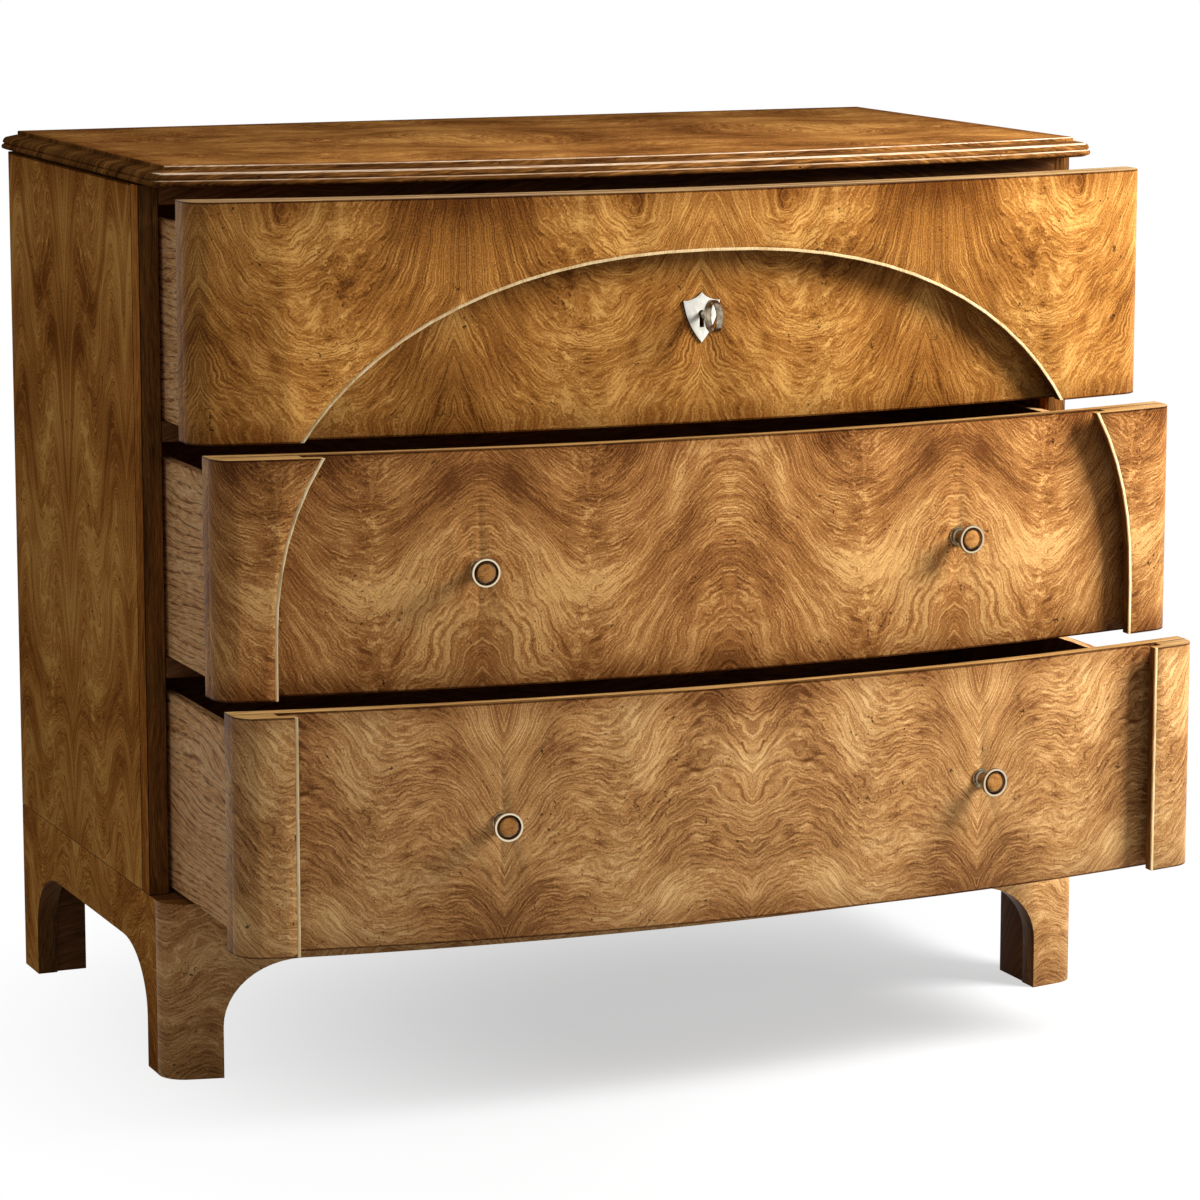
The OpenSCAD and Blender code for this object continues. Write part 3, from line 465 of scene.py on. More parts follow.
def plain_wood(name, axes, shades, band=0.012, stretch=14.0, waver=0.01, contrast=1.0, fine=1.0,
               rings=0.1, seed=0.0, roughness=0.46, coat=0.0, gloss=0.05, pores=0.35, flecks=0.5,
               line_at=None):
    """Straight-grained wood. axes names the axis along the grain, the one across it and the depth."""
    # line_at is the depth in the map at which a fine dark line runs along the board
    made = new_material(name)
    t = made.node_tree
    place = object_place(t)
    axis = split(t, place)
    turned_place = joined(t, axis[axes[0]], axis[axes[1]], axis[axes[2]])
    grain = use(t, straight_grain, Place=turned_place, Band_Size=band, Stretch=stretch,
                Waver=waver, Seed=seed)
    wood = coloured(t, grain, shades, Contrast=contrast, Fine_Contrast=fine, Ring_Depth=rings,
                    Pore_Depth=pores)
    line = {}
    if line_at is not None:
        depth = sub(t, split(t, map_place(t))["Y"], line_at)
        line = {"Border_Distance": depth, "Rim_Line": 0.85}
    aged = use(t, age_marks, Colour=wood["Colour"], Place=place, Border_Strength=0.0,
               Fleck_Amount=flecks, **line)
    lacquered(made, aged["Colour"], wood["Height"], roughness, coat, gloss)
    return made


def tone(red, green, blue):
    """A colour from its usual 0 to 255 values, as light."""
    def light(v):
        v = v / 255
        return v / 12.92 if v <= 0.04045 else ((v + 0.055) / 1.055) ** 2.4
    return (light(red), light(green), light(blue), 1.0)


def tones(dark, middle, light):
    """The three tones of a wood, each given by its usual 0 to 255 values."""
    return tone(*dark), tone(*middle), tone(*light)


golden = tones((102, 57, 20), (172, 112, 49), (228, 172, 94))
brown = tones((104, 60, 28), (174, 116, 61), (234, 182, 113))
sandy = tones((126, 79, 43), (194, 140, 83), (241, 195, 131))
shady = tones((130, 74, 29), (194, 126, 58), (238, 180, 96))
upright, lengthwise, deep = ("Z", "X", "Y"), ("X", "Y", "Z"), ("Y", "Z", "X")
print("lightest tone of the golden wood:", [round(v, 3) for v in golden[2]])

# %% [markdown]
# The veneers. The upper front has arches towards both seams, the middle one a wave and a swirl,
# the lower one a steep fork at one seam. The top is mirrored at a line along it, and its front rim
# bends with the bow. A rim is where the dark border runs. Lengths and places are in metres.

# %% Materials: veneers
front_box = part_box("d1_front")
front_rims = (0.0, float(front_box[1][2] - front_box[0][2]))
endless = (-1.0, 1.0)
bow_depth = 0.0595
top_half = 0.5043
top_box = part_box("top_board")
top_rims = (float(top_box[0][1]), float(top_box[1][1]))
looks = {}
looks["front_1"] = veneer(
    "veneer_front_upper", golden, front_rims, rings=0.14, Wave=0.0, First_Rise=0.1, First_Power=2.6,
    Last_Rise=0.15, Last_Power=2.6, Growth=3.0, Burl_Place=0.137, Burl=0.5, Drift=0.14, Seed=3.0)
looks["front_2"] = veneer(
    "veneer_front_middle", brown, front_rims, rings=0.18, Wave=0.035, Wave_Length=0.96,
    Wave_Crest=0.1, First_Rise=0.08, First_Power=2.0, Growth=1.0, Swirl=0.05,
    Swirl_Place=(0.236, 0.15, 0.0), Swirl_Size=0.055, Burl_Place=0.15, Burl=0.6, Drift=0.16,
    Seed=31.0)
looks["front_3"] = veneer(
    "veneer_front_lower", sandy, front_rims, rings=0.36, Wave=0.016, Wave_Length=0.64,
    Wave_Crest=0.19, First_Rise=0.01, First_Power=5.0, Last_Rise=-0.085, Last_Power=3.6, Growth=1.2,
    Burl_Place=0.133, Burl=0.3, Drift=0.11, Seed=11.0)
looks["side"] = veneer(
    "veneer_side", shady, (0.11, 0.9), on=("Y", "Z"), border=0.3, rings=0.14, roughness=0.5,
    gloss=0.0, First_Seam=0.19, Leaf_Width=0.21, Wave=0.014, Wave_Length=0.66, Wave_Crest=0.17,
    First_Rise=-0.05, First_Power=4.0, Last_Rise=-0.02, Last_Power=5.0, Growth=5.0, Burl_Place=0.08,
    Burl=0.5, Drift=0.2, Seed=17.0)
looks["top"] = veneer(
    "veneer_top", tones((88, 50, 22), (150, 96, 46), (206, 150, 80)), top_rims, on=("X", "Y"),
    contrast=1.0, border=0.6, roughness=0.5, gloss=0.0, fold=0.12, bow=bow_depth / top_half ** 2,
    ends=top_half, First_Seam=0.1, Leaf_Width=0.7, Wave=0.02, Wave_Length=0.5, Wave_Crest=0.1,
    Swirl=0.1, Swirl_Place=(0.2, 0.09, 0.0), Swirl_Size=0.08, Burl=0.0, Drift=0.16, Seed=6.0)
below = {"rings": 0.16, "Wave": 0.03, "First_Rise": 0.04, "Last_Rise": 0.08, "Burl": 0.3, "Drift": 0.2}
looks["base"] = veneer("veneer_base", sandy, endless, on=("X", "Z"), Seed=19.0, **below)
looks["foot"] = veneer("veneer_foot", shady, endless, on=("Y", "Z"), gloss=0.0, First_Seam=0.19,
                       Seed=23.0, **below)
print("veneers:", len(looks))

# %% [markdown]
# The plain woods. The moulding is waxed dark, and the pale lines along its front are painted
# highlights. The ash of the drawer sides is light with open rings. The lippings on the upper edges
# of the fronts carry a fine dark line where the veneer, or the board before them, meets them.

# %% Materials: plain woods
board_out = 0.0168  # how far the board of a closed front stands before the case
surround_out = 0.025  # how far the surround stands before that board
looks["stile"] = plain_wood(
    "veneer_stile", upright, tones((112, 64, 25), (172, 104, 44), (216, 144, 72)), band=0.01,
    stretch=16.0, seed=4.0, roughness=0.5, gloss=0.0)
looks["moulding"] = plain_wood(
    "wood_moulding", lengthwise, tones((60, 34, 15), (112, 70, 32), (176, 120, 60)), band=0.01,
    stretch=16.0, seed=8.0, roughness=0.4, gloss=0.0, flecks=2.0)
# painted highlight: pale tones on the front lines of the moulding and the front edge of the top
looks["step"] = plain_wood(
    "painted_highlight_step", lengthwise, tones((164, 120, 80), (222, 186, 146), (250, 228, 198)), band=0.01,
    stretch=16.0, seed=9.0, roughness=0.2, coat=1.0)
lipping_tones = tones((130, 92, 48), (178, 136, 80), (214, 174, 112))
for kind, depth in (("surround", 0.0), ("front", surround_out)):
    looks["lipping_" + kind] = plain_wood(
        "wood_lipping_" + kind, lengthwise, lipping_tones, band=0.006, stretch=30.0, seed=12.0,
        roughness=0.5, flecks=0.2, line_at=depth)
looks["edge"] = plain_wood(
    "wood_rim_edge", upright, tones((56, 32, 14), (104, 66, 30), (146, 98, 48)), band=0.006,
    stretch=20.0, seed=14.0)
looks["carcass"] = plain_wood(
    "wood_carcass", lengthwise, tones((74, 43, 22), (106, 66, 36), (134, 88, 52)), stretch=20.0,
    seed=16.0, roughness=0.55)
looks["ash"] = plain_wood(
    "wood_ash", deep, tones((172, 116, 70), (234, 176, 116), (251, 212, 156)), band=0.0085,
    stretch=12.0, waver=0.009, contrast=0.8, fine=1.2, rings=0.85, seed=18.0, roughness=0.55,
    pores=0.6, flecks=0.0)
# darker wood for the backs and bottoms, and painted shade on the inner faces of the ash sides
looks["inside"] = plain_wood(
    "wood_inside", lengthwise, tones((102, 66, 38), (138, 96, 58), (164, 122, 80)), stretch=20.0,
    seed=20.0, roughness=0.6)
looks["line"] = plain_wood(
    "inlaid_line", upright, tones((206, 168, 114), (238, 206, 152), (250, 228, 184)), band=0.01,
    stretch=20.0, seed=22.0, roughness=0.4, pores=0.1, flecks=0.1)
looks["dark_edge"] = plain_wood(
    "stained_edge", upright, tones((30, 16, 7), (52, 30, 13), (76, 46, 21)), band=0.01,
    stretch=16.0, seed=26.0, gloss=0.0)
looks["disc"] = plain_wood(
    "wood_disc", lengthwise, tones((112, 66, 30), (186, 126, 64), (220, 164, 98)), band=0.004,
    stretch=2.0, seed=24.0, roughness=0.4, flecks=0.3)
# near-black on the sides of the shield, and painted shade in its keyhole
looks["gap"] = plain_wood("near_black_rim_and_keyhole_shade", lengthwise, tones((14, 8, 4), (24, 14, 8), (34, 20, 12)))
print("wood materials:", len(looks))

# %% [markdown]
# Metal and bone. The brass has gone dull in its hollows and is worn bright on its crest, where a
# painted highlight lies as well: the mesh of a knob says where its crest is, and the material reads
# that. The key is older, darker steel.

# %% Materials: metal and bone
def metal(name, clean, dull, roughness, seed, rubbed_and_highlit=False):
    """Worn metal between a clean and a dull tone. It can be clean where its mesh has a crest,
    which stands for brass worn bright and for a painted highlight.
    """
    made = new_material(name)
    t = made.node_tree
    place = shifted(t, object_place(t), (seed, seed, seed))
    patch = shaded(t, noise(t, place, 150.0, 3.0, 0.6), 0.3, 0.7)
    if rubbed_and_highlit:
        # a clean crest: partly worn brass, partly a painted highlight on the rim
        crest = put(t, "ShaderNodeAttribute", {"attribute_name": "crest"}).outputs["Fac"]
        patch = mul_add(t, patch, 0.35, 0.65)
        patch = mul(t, patch, sub(t, 1.0, crest))
    shader = put(t, "ShaderNodeBsdfPrincipled", None, {
        "Base Color": blended(t, "MIX", patch, clean, dull), "Metallic": 1.0,
        "Roughness": shaded(t, patch, 0.0, 1.0, roughness, roughness + 0.16),
    })
    close_with(made, shader)
    return made


def polished_bone(name):
    """White bone with a faint cloudy tone."""
    made = new_material(name)
    t = made.node_tree
    cloudy = shaded(t, noise(t, object_place(t), 90.0, 4.0, 0.6), 0.3, 0.75)
    shader = put(t, "ShaderNodeBsdfPrincipled", None, {
        "Base Color": blended(t, "MIX", cloudy, tone(246, 242, 232), tone(226, 218, 200)),
        "Roughness": 0.3, "Coat Weight": 0.3, "Subsurface Weight": 0.05,
    })
    close_with(made, shader)
    return made


looks["brass"] = metal("old_brass", tone(232, 216, 186), tone(112, 92, 66), 0.16, 1.0, rubbed_and_highlit=True)
looks["steel"] = metal("old_steel", tone(196, 184, 162), tone(128, 114, 92), 0.24, 2.0)
looks["iron"] = metal("lock_iron", tone(96, 90, 84), tone(52, 46, 42), 0.42, 3.0)
looks["bone"] = polished_bone("white_shield")
print("materials:", len(bpy.data.materials))

# %% [markdown]
# Boards with soft edges. A real edge is never sharp: a thin line of light runs along it. Each board
# is a merged copy of its board in the frame, with its flat faces joined, a small bevel and even
# shading. Copying keeps every board in its true place, and the bevel only takes wood away.

# %% Helpers for boards
case_half = 0.520
bow_radius = 2.3020
round_end = 0.028  # radius of the rounded ends of the fronts
millimetre = 0.001
edge_angle = 34  # degrees from which an edge counts as sharp


def settle(thing):
    """Turns a thing's modifiers into plain mesh."""
    graph = bpy.context.evaluated_depsgraph_get()
    done = bpy.data.meshes.new_from_object(thing.evaluated_get(graph))
    thing.modifiers.clear()
    thing.data = done


def shade(thing, sharp):
    """Smooth shading with a break at edges sharper than so many degrees."""
    for face in thing.data.polygons:
        face.use_smooth = True
    thing.data.set_sharp_from_angle(angle=math.radians(sharp))


def show(name, mesh):
    """An object for a mesh, in the scene."""
    thing = bpy.data.objects.new(name, mesh)
    bpy.context.scene.collection.objects.link(thing)
    return thing


def hand_in(thing, body, nodes):
    """Lets a piece move with its body and stand for its frame boards."""
    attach(thing, body)
    for node in nodes:
        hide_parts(node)


def soft_board(name, node, edge, body="case"):
    """A copy of a frame board, with bevelled edges of edge millimetres."""
    flat = math.radians(0.2)
    shape = bmesh.new()
    shape.from_mesh(boards[node].data)
    bmesh.ops.remove_doubles(shape, verts=shape.verts, dist=2e-6)
    bmesh.ops.dissolve_limit(shape, angle_limit=flat, verts=shape.verts, edges=shape.edges)
    mesh = bpy.data.meshes.new(name)
    shape.to_mesh(mesh)
    shape.free()
    board = show(name, mesh)
    bevel = board.modifiers.new("soft_edges", "BEVEL")
    bevel.width = edge * millimetre
    bevel.segments = 2
    bevel.limit_method = "ANGLE"
    bevel.angle_limit = math.radians(edge_angle)
    bevel.harden_normals = True
    for face in board.data.polygons:
        face.use_smooth = True
    settle(board)
    hand_in(board, body, [node])
    return board


def paint(thing, names, choose):
    """Gives every face one of the named looks. choose gets the face's middle and its direction."""
    thing.data.materials.clear()
    for name in names:
        thing.data.materials.append(looks[name])
    for face in thing.data.polygons:
        face.material_index = names.index(choose(face.center, face.normal))


def painted_board(name, node, edge, names, choose, body="case"):
    """A soft board whose faces have the named looks, as choose says."""
    paint(soft_board(name, node, edge, body), names, choose)


def plain_board(name, node, edge, look, body="case"):
    """A soft board with one look all over."""
    painted_board(name, node, edge, [look], lambda middle, direction: look, body)


# %% [markdown]
# The case. Its sides are thin boards with upright figure, and a narrow stile stands at each front
# edge with a fine dark joint beside it. The rails between the drawers and everything inside are
# plain dark wood that hardly shows.

# %% Case boards
def outside(look):
    """The look on faces to the left and right, dark stain on the bevels, plain wood elsewhere."""
    def choose(middle, direction):
        if max(abs(v) for v in direction) < 0.97:
            return "dark_edge"
        return look if abs(direction.x) > 0.7 else "edge"
    return choose


def base_face(middle, direction):
    """Veneer on the front of the base, waxed wood on its upper edge, plain wood inside the feet."""
    if direction.z > 0.9:
        return "moulding"
    if direction.y < -0.35 or abs(direction.x) > 0.8 and abs(middle.x) > case_half - 0.004:
        return "base"
    return "edge"


def foot_face(middle, direction):
    """Veneer on the outer and inner face of a side of the base, plain wood on its edges."""
    return "foot" if abs(direction.x) > 0.5 else "edge"


def faces_front(direction):
    """Whether a face looks to the front and not round the corner."""
    return direction.y < -0.1 and abs(direction.x) < 0.4


def top_face(middle, direction):
    """Veneer on the top, a painted highlight along its front edge and waxed wood round the sides."""
    if direction.z > 0.96:
        return "top"
    return "step" if direction.z > 0.1 and faces_front(direction) else "moulding"


for end in ("_left", "_right"):
    for name, kind in (("case_side", "side"), ("front_stile", "stile")):
        painted_board(name + end, kind + end, 0.8, [kind, "edge", "dark_edge"], outside(kind))
    painted_board("base_board" + end, "base" + end, 0.9, ["foot", "edge"], foot_face)
for name, node in (("rail_above", "top_rail"), ("rail_upper", "rail_1"), ("rail_lower", "rail_2")):
    plain_board(name, node, 0.6, "carcass")
for node in ("back_panel", "bottom_board", "runners", "guides", "base_back", "base_blocks"):
    plain_board("case_" + node, node, 0.5, "carcass")
painted_board("base_board_front", "base_front", 1.2, ["base", "moulding", "edge"], base_face)
painted_board("top", "top_board", 1.0, ["top", "moulding", "step"], top_face)

# %% [markdown]
# The moulding of the top. On the real chest one length of moulding is mitred and glued round three
# edges, so its shape is a section carried along a path. Geometry nodes do just that: the path and
# the section are inputs, and the corners follow because the path turns them.

# %% Section and path of the moulding
top_radius = (top_half ** 2 + bow_depth ** 2) / (2 * bow_depth)
top_angle = math.asin(top_half / top_radius)
top_low = float(top_box[0][2])
front_line = float(top_box[0][1]) + bow_depth
back_line = float(top_box[1][1])
path_out = 0.008  # how far the path runs outside the board


def arc_points(centre, radius, start, end, steps):
    """Points on an arc between two angles in degrees."""
    angles = [math.radians(start + (end - start) * i / steps) for i in range(steps + 1)]
    return [(centre[0] + radius * math.cos(a), centre[1] + radius * math.sin(a)) for a in angles]


def moulding_section():
    """The moulding's outline in millimetres: out from the board, and up from its underside."""
    points = [(0.0, 0.0), (0.0, 16.3), (0.5, 16.5)]
    points += arc_points((10.5, 8.7), 6.0, 88, 0, 14)
    points += [(15.2, 8.2), (15.0, 7.6)]
    points += arc_points((15.2, 4.4), 2.8, 84, -90, 10)
    points += [(14.6, 1.55), (14.2, 1.1), (10.9, 0.1), (10.5, 0.0)]
    return points


def moulding_path():
    """Round three sides of the top, path_out outside its edge, with the outer side to the right."""
    points = [(-top_half - path_out, back_line)]
    corner_turn = math.degrees(top_angle)
    points += arc_points((-top_half, front_line), path_out, 180, 270 - corner_turn, 8)
    centre = (0.0, front_line - bow_depth + top_radius)
    bowed = arc_points(centre, top_radius + path_out, 270 - corner_turn, 270 + corner_turn, 90)
    points += bowed[1:-1]
    points += arc_points((top_half, front_line), path_out, 270 + corner_turn, 360, 8)
    points.append((top_half + path_out, back_line))
    return points


def wire(name, points, closed=False):
    """A mesh that is only a line of edges."""
    edges = [(i, i + 1) for i in range(len(points) - 1)]
    if closed:
        edges.append((len(points) - 1, 0))
    mesh = bpy.data.meshes.new(name)
    mesh.from_pydata(points, edges, [])
    return mesh


section_points = [(x * millimetre - path_out, -y * millimetre, 0.0) for x, y in moulding_section()]
section = show("moulding_section", wire("moulding_section", section_points, closed=True))
path_points = [(x, y, top_low) for x, y in moulding_path()]
print("section points:", len(section_points), "path points:", len(path_points))

# %% [markdown]
# The sweep itself. Geometry nodes turn the path and the section into curves, carry one along the
# other with its upper side up, and give the result its wood. The path's mesh is the object that the
# modifier works on, and the result is then kept as plain mesh.

# %% Geometry nodes: a section swept along a path
def geometry_group(name, shape_label, wood_label):
    """A geometry group with an object and a material as named inputs, and its two end nodes."""
    tree = bpy.data.node_groups.new(name, "GeometryNodeTree")
    taken = (("Geometry", "NodeSocketGeometry"), (shape_label, "NodeSocketObject"),
             (wood_label, "NodeSocketMaterial"))
    for label, kind in taken:
        tree.interface.new_socket(name=label, in_out="INPUT", socket_type=kind)
    tree.interface.new_socket(name="Geometry", in_out="OUTPUT", socket_type="NodeSocketGeometry")
    return tree, tree.nodes.new("NodeGroupInput").outputs, tree.nodes.new("NodeGroupOutput").inputs


def first_output(tree, kind, feeds, settings=None):
    """The first output of a new node."""
    return put(tree, kind, settings, feeds).outputs[0]


def finish_geometry(tree, geometry, material, end):
    """Makes copies real, gives them their material and hands them out."""
    real = first_output(tree, "GeometryNodeRealizeInstances", {"Geometry": geometry})
    dressed = {"Geometry": real, "Material": material}
    tree.links.new(first_output(tree, "GeometryNodeSetMaterial", dressed), end["Geometry"])


def run_group(thing, group, shape, material):
    """Runs a geometry group on an object and keeps the result as plain mesh."""
    maker = thing.modifiers.new("maker", "NODES")
    maker.node_group = group
    taken = [item for item in group.interface.items_tree if item.in_out == "INPUT"]
    maker[taken[1].identifier] = shape
    maker[taken[2].identifier] = material
    settle(thing)


sweep, given, end = geometry_group("section_along_path", "Section", "Wood")
path_curve = first_output(sweep, "GeometryNodeMeshToCurve", {"Mesh": given["Geometry"]})
level_path = first_output(sweep, "GeometryNodeSetCurveNormal", {"Curve": path_curve}, {"mode": "Z_UP"})
info = put(sweep, "GeometryNodeObjectInfo", None, {"Object": given["Section"]})
section_curve = first_output(sweep, "GeometryNodeMeshToCurve", {"Mesh": info.outputs["Geometry"]})
curves = {"Curve": level_path, "Profile Curve": section_curve, "Fill Caps": True}
swept = first_output(sweep, "GeometryNodeCurveToMesh", curves)
finish_geometry(sweep, swept, given["Wood"], end)

moulding = show("top_moulding", wire("top_moulding", path_points))
run_group(moulding, sweep, section, looks["moulding"])
bpy.data.objects.remove(section)


def tidy_faces(thing, gap=2e-6):
    """Merges doubles and turns every face outwards. Returns the volume and the open edges."""
    shape = bmesh.new()
    shape.from_mesh(thing.data)
    bmesh.ops.remove_doubles(shape, verts=shape.verts, dist=gap)
    bmesh.ops.recalc_face_normals(shape, faces=shape.faces)
    if shape.calc_volume(signed=True) < 0:
        bmesh.ops.reverse_faces(shape, faces=shape.faces)
    volume = shape.calc_volume(signed=True)
    open_edges = sum(1 for edge in shape.edges if not edge.is_manifold)
    shape.to_mesh(thing.data)
    shape.free()
    return volume, open_edges


moulding_check = tidy_faces(moulding)
shade(moulding, 30)
# each painted highlight line: its lower and upper height on the moulding, and how far its faces look
# up
painted_highlight_lines = ((0.0128, 0.0147, 0.6), (0.0062, 0.0074, 0.4))
# front faces on these lines get the pale tones of the painted highlight
moulding.data.materials.append(looks["step"])
for face in moulding.data.polygons:
    up = face.center.z - top_low
    on_line = any(low < up < high and face.normal.z > steep for low, high, steep in painted_highlight_lines)
    face.material_index = 1 if on_line and faces_front(face.normal) else 0
hand_in(moulding, "case", ["top_moulding_front", "top_moulding_left", "top_moulding_right"])
print("moulding volume and open edges:", moulding_check)

# %% [markdown]
# The drawer fronts. A front is a bowed board with a raised surround on it that is rounded at the
# ends of the chest. Its map is measured along the curved face, so that the veneer runs round the
# ends without stretching, and on the upper edge it is measured from front to back instead, which
# lets the material draw the thin dark line where veneer meets wood.

# %% Helpers for fronts
bend = math.asin((case_half - round_end) / (bow_radius - round_end))
flat_end = bow_radius * bend
slack = 0.002  # how far before a rounded end a point counts as being on it
case_front = float(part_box("stile_left")[0][1])
bow_centre = case_front - bow_depth + bow_radius


def along_face(x, y, y_round):
    """Distance along a front's outline from its middle to a point of it."""
    side = -1.0 if x < 0 else 1.0
    far = abs(x)
    if far <= case_half - round_end * (1 - math.sin(bend)) - slack:
        return side * bow_radius * math.asin(min(far / bow_radius, 1.0))
    angle = math.atan2(far - (case_half - round_end), y_round - y)
    angle = max(min(angle, math.pi / 2), bend)
    return side * (flat_end + round_end * (angle - bend) + max(y - y_round, 0.0))


def map_front(front, open_by, low, shift):
    """The map of a front in metres: along its outline and up, or depth from the face on its edges."""
    mesh = front.data
    layer = mesh.uv_layers.new(name="board_map")
    centre = bow_centre - open_by - board_out - surround_out
    y_round = centre - (bow_radius - round_end) * math.cos(bend)
    for face in mesh.polygons:
        edge_face = abs(face.normal.z) > 0.7
        for corner in face.loop_indices:
            x, y, z = mesh.vertices[mesh.loops[corner].vertex_index].co
            u = along_face(x, y, y_round) - math.copysign(shift, x)
            depth = y - centre + math.sqrt(bow_radius ** 2 - x * x)
            layer.data[corner].uv = (u, depth) if edge_face else (u, z - low)


def front_look(look, lipping):
    """Veneer on the face and the round ends, other woods on the edges, the back and the rim."""
    def choose(middle, direction):
        if direction.z > 0.7:
            return lipping
        if direction.z < -0.7 or direction.y > 0.5:
            return "inside"
        outwards = direction.x * (1 if middle.x > 0 else -1)
        if direction.y < -0.35 or (outwards > 0.3 and abs(middle.x) > case_half - round_end - slack):
            return look
        return "edge"
    return choose


opened = {1: 0.121, 2: 0.193, 3: 0.250}  # how far each drawer stands out of the case
print("front arc from the middle to the round:", round(flat_end, 4))

# %% [markdown]
# The fronts of the drawers. The upper one has a surround in one piece, the others have one at each
# end. The veneer of those ends is shifted along the leaf, so no line runs on across the step.

# %% Drawer fronts
soft_edge = {"front": 0.5, "surround": 0.8, "stringing": 0.25}
end_shift = 0.1
for number, open_by in opened.items():
    ends = [""] if number == 1 else ["_left", "_right"]
    nodes = ["d%d_front" % number]
    nodes += ["d%d_%s%s" % (number, kind, end) for kind in ("surround", "stringing") for end in ends]
    low = float(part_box(nodes[0])[0][2])
    look = "front_%d" % number
    for node in nodes:
        kind = node.split("_")[1]
        piece = soft_board("soft_" + node, node, soft_edge[kind], "drawer_%d" % number)
        map_front(piece, open_by, low, end_shift if kind == "surround" and number > 1 else 0.0)
        if kind == "stringing":
            paint(piece, ["line"], lambda middle, direction: "line")
            continue
        lipping = "lipping_" + kind
        paint(piece, [look, lipping, "inside", "edge"], front_look(look, lipping))

# %% [markdown]
# The drawer boxes. Light ash sides with an open arched grain; their inner faces get darker wood,
# which is painted shade. Only a strip of each side shows in the photograph, between the case and
# the open front.

# %% Drawer boxes
def side_look(sign):
    """Ash on the outside and edges of a drawer side, and darker wood, painted shade, on its inside."""
    return lambda middle, direction: "inside" if direction.x * sign < -0.5 else "ash"


for number in opened:
    body = "drawer_%d" % number
    for side, sign in (("left", -1), ("right", 1)):
        node = "d%d_side_%s" % (number, side)
        painted_board("box_" + node, node, 1.0, ["ash", "inside"], side_look(sign), body)
    for part in ("back", "bottom"):
        node = "d%d_%s" % (number, part)
        plain_board("box_" + node, node, 0.6, "inside", body)

# %% [markdown]
# The knobs. A knob is turned on a lathe: a brass cup on a waisted neck, with a rolled rim, a dark
# groove and a small wooden disc let into its face. One knob is turned from its outline and geometry
# nodes set a copy at both places of each drawer, square to the bowed face.

# %% Helper: turning on a lathe
# the clean crest of a knob is partly worn brass and partly a painted highlight; its foot is half as
# clean
crest_start = 27.1  # height on a knob from which it is rubbed bright, in millimetres
flange_height = 1.6  # height of its foot, which is half bright


def turned(name, outline, steps=72):
    """A closed turned shape. The outline runs from the axis to the axis, in millimetres."""
    points, faces = [], []
    rows = []
    for radius, height in outline:
        if radius == 0:
            rows.append([len(points)])
            points.append((0.0, 0.0, height * millimetre))
            continue
        rows.append(list(range(len(points), len(points) + steps)))
        for i in range(steps):
            a = 2 * math.pi * i / steps
            x, y = radius * math.cos(a), radius * math.sin(a)
            points.append((x * millimetre, y * millimetre, height * millimetre))
    for lower, upper in zip(rows, rows[1:]):
        for i in range(steps):
            j = (i + 1) % steps
            if len(lower) == 1:
                faces.append((lower[0], upper[j], upper[i]))
            elif len(upper) == 1:
                faces.append((lower[i], lower[j], upper[0]))
            else:
                faces.append((lower[i], lower[j], upper[j], upper[i]))
    mesh = bpy.data.meshes.new(name)
    mesh.from_pydata(points, [], faces)
    # crest says where the brass is clean: worn, and a painted highlight on the rim
    crest = mesh.attributes.new("crest", "FLOAT", "POINT")
    for i, point in enumerate(points):
        height = point[2] / millimetre
        above = min(max((height - crest_start) / 0.8, 0.0), 1.0)
        crest.data[i].value = max(above, 0.4 if height < flange_height else 0.0)
    thing = show(name, mesh)
    tidy_faces(thing, 1e-7)
    shade(thing, 32)
    return thing


def soft_step(a, b, c, d, s):
    """A value between b and c on a soft curve through a, b, c and d."""
    bent = (2 * a - 5 * b + 4 * c - d) * s * s + (3 * b - a - 3 * c + d) * s ** 3
    return 0.5 * (2 * b + (c - a) * s + bent)


def smooth_line(points, steps=5):
    """A soft curve through points, for outlines."""
    ends = [points[0]] + points + [points[-1]]
    out = []
    for four in zip(ends, ends[1:], ends[2:], ends[3:]):
        out += [tuple(soft_step(*v, k / steps) for v in zip(*four)) for k in range(steps)]
    return out + [points[-1]]


flange = [(0, 0.1), (9.9, 0.1), (10.0, 0.3), (10.0, 1.4), (9.7, 2.1)]
neck = [(9.0, 2.5), (6.9, 2.7), (5.7, 4.6), (5.5, 8.0), (5.5, 14.0), (6.6, 17.6), (9.6, 20.6)]
cup = [(14.3, 23.6), (14.45, 24.4), (14.45, 26.2)]
rim = arc_points((13.15, 26.65), 1.3, 0, 180, 10)
seat = [(11.6, 25.6), (10.2, 24.1), (10.0, 24.0), (0, 24.0)]
knob_outline = flange + smooth_line(neck + [(13.6, 22.8)]) + cup + rim + seat
disc_outline = [(0, 24.1), (8.9, 24.1), (9.0, 24.3), (9.0, 25.9), (8.7, 26.5), (8.1, 26.75)]
disc_outline += [(4.5, 27.0), (0, 27.0)]
print("knob outline points:", len(knob_outline))

# %% [markdown]
# Setting the knobs. The modifier's own mesh is only two points with an arrow on each. Geometry nodes
# put one turned shape on every point, turn it along the arrow and give it its finish.

# %% Geometry nodes: one shape set at marked places
setting, given, end = geometry_group("set_at_places", "Shape", "Finish")
info = put(setting, "GeometryNodeObjectInfo", None, {"Object": given["Shape"]})
arrow = first_output(setting, "GeometryNodeInputNamedAttribute", {"Name": "outwards"},
                     {"data_type": "FLOAT_VECTOR"})
aim = first_output(setting, "FunctionNodeAlignRotationToVector", {"Vector": arrow}, {"axis": "Z"})
marked = {"Points": given["Geometry"], "Instance": info.outputs["Geometry"], "Rotation": aim}
copies = first_output(setting, "GeometryNodeInstanceOnPoints", marked)
finish_geometry(setting, copies, given["Finish"], end)


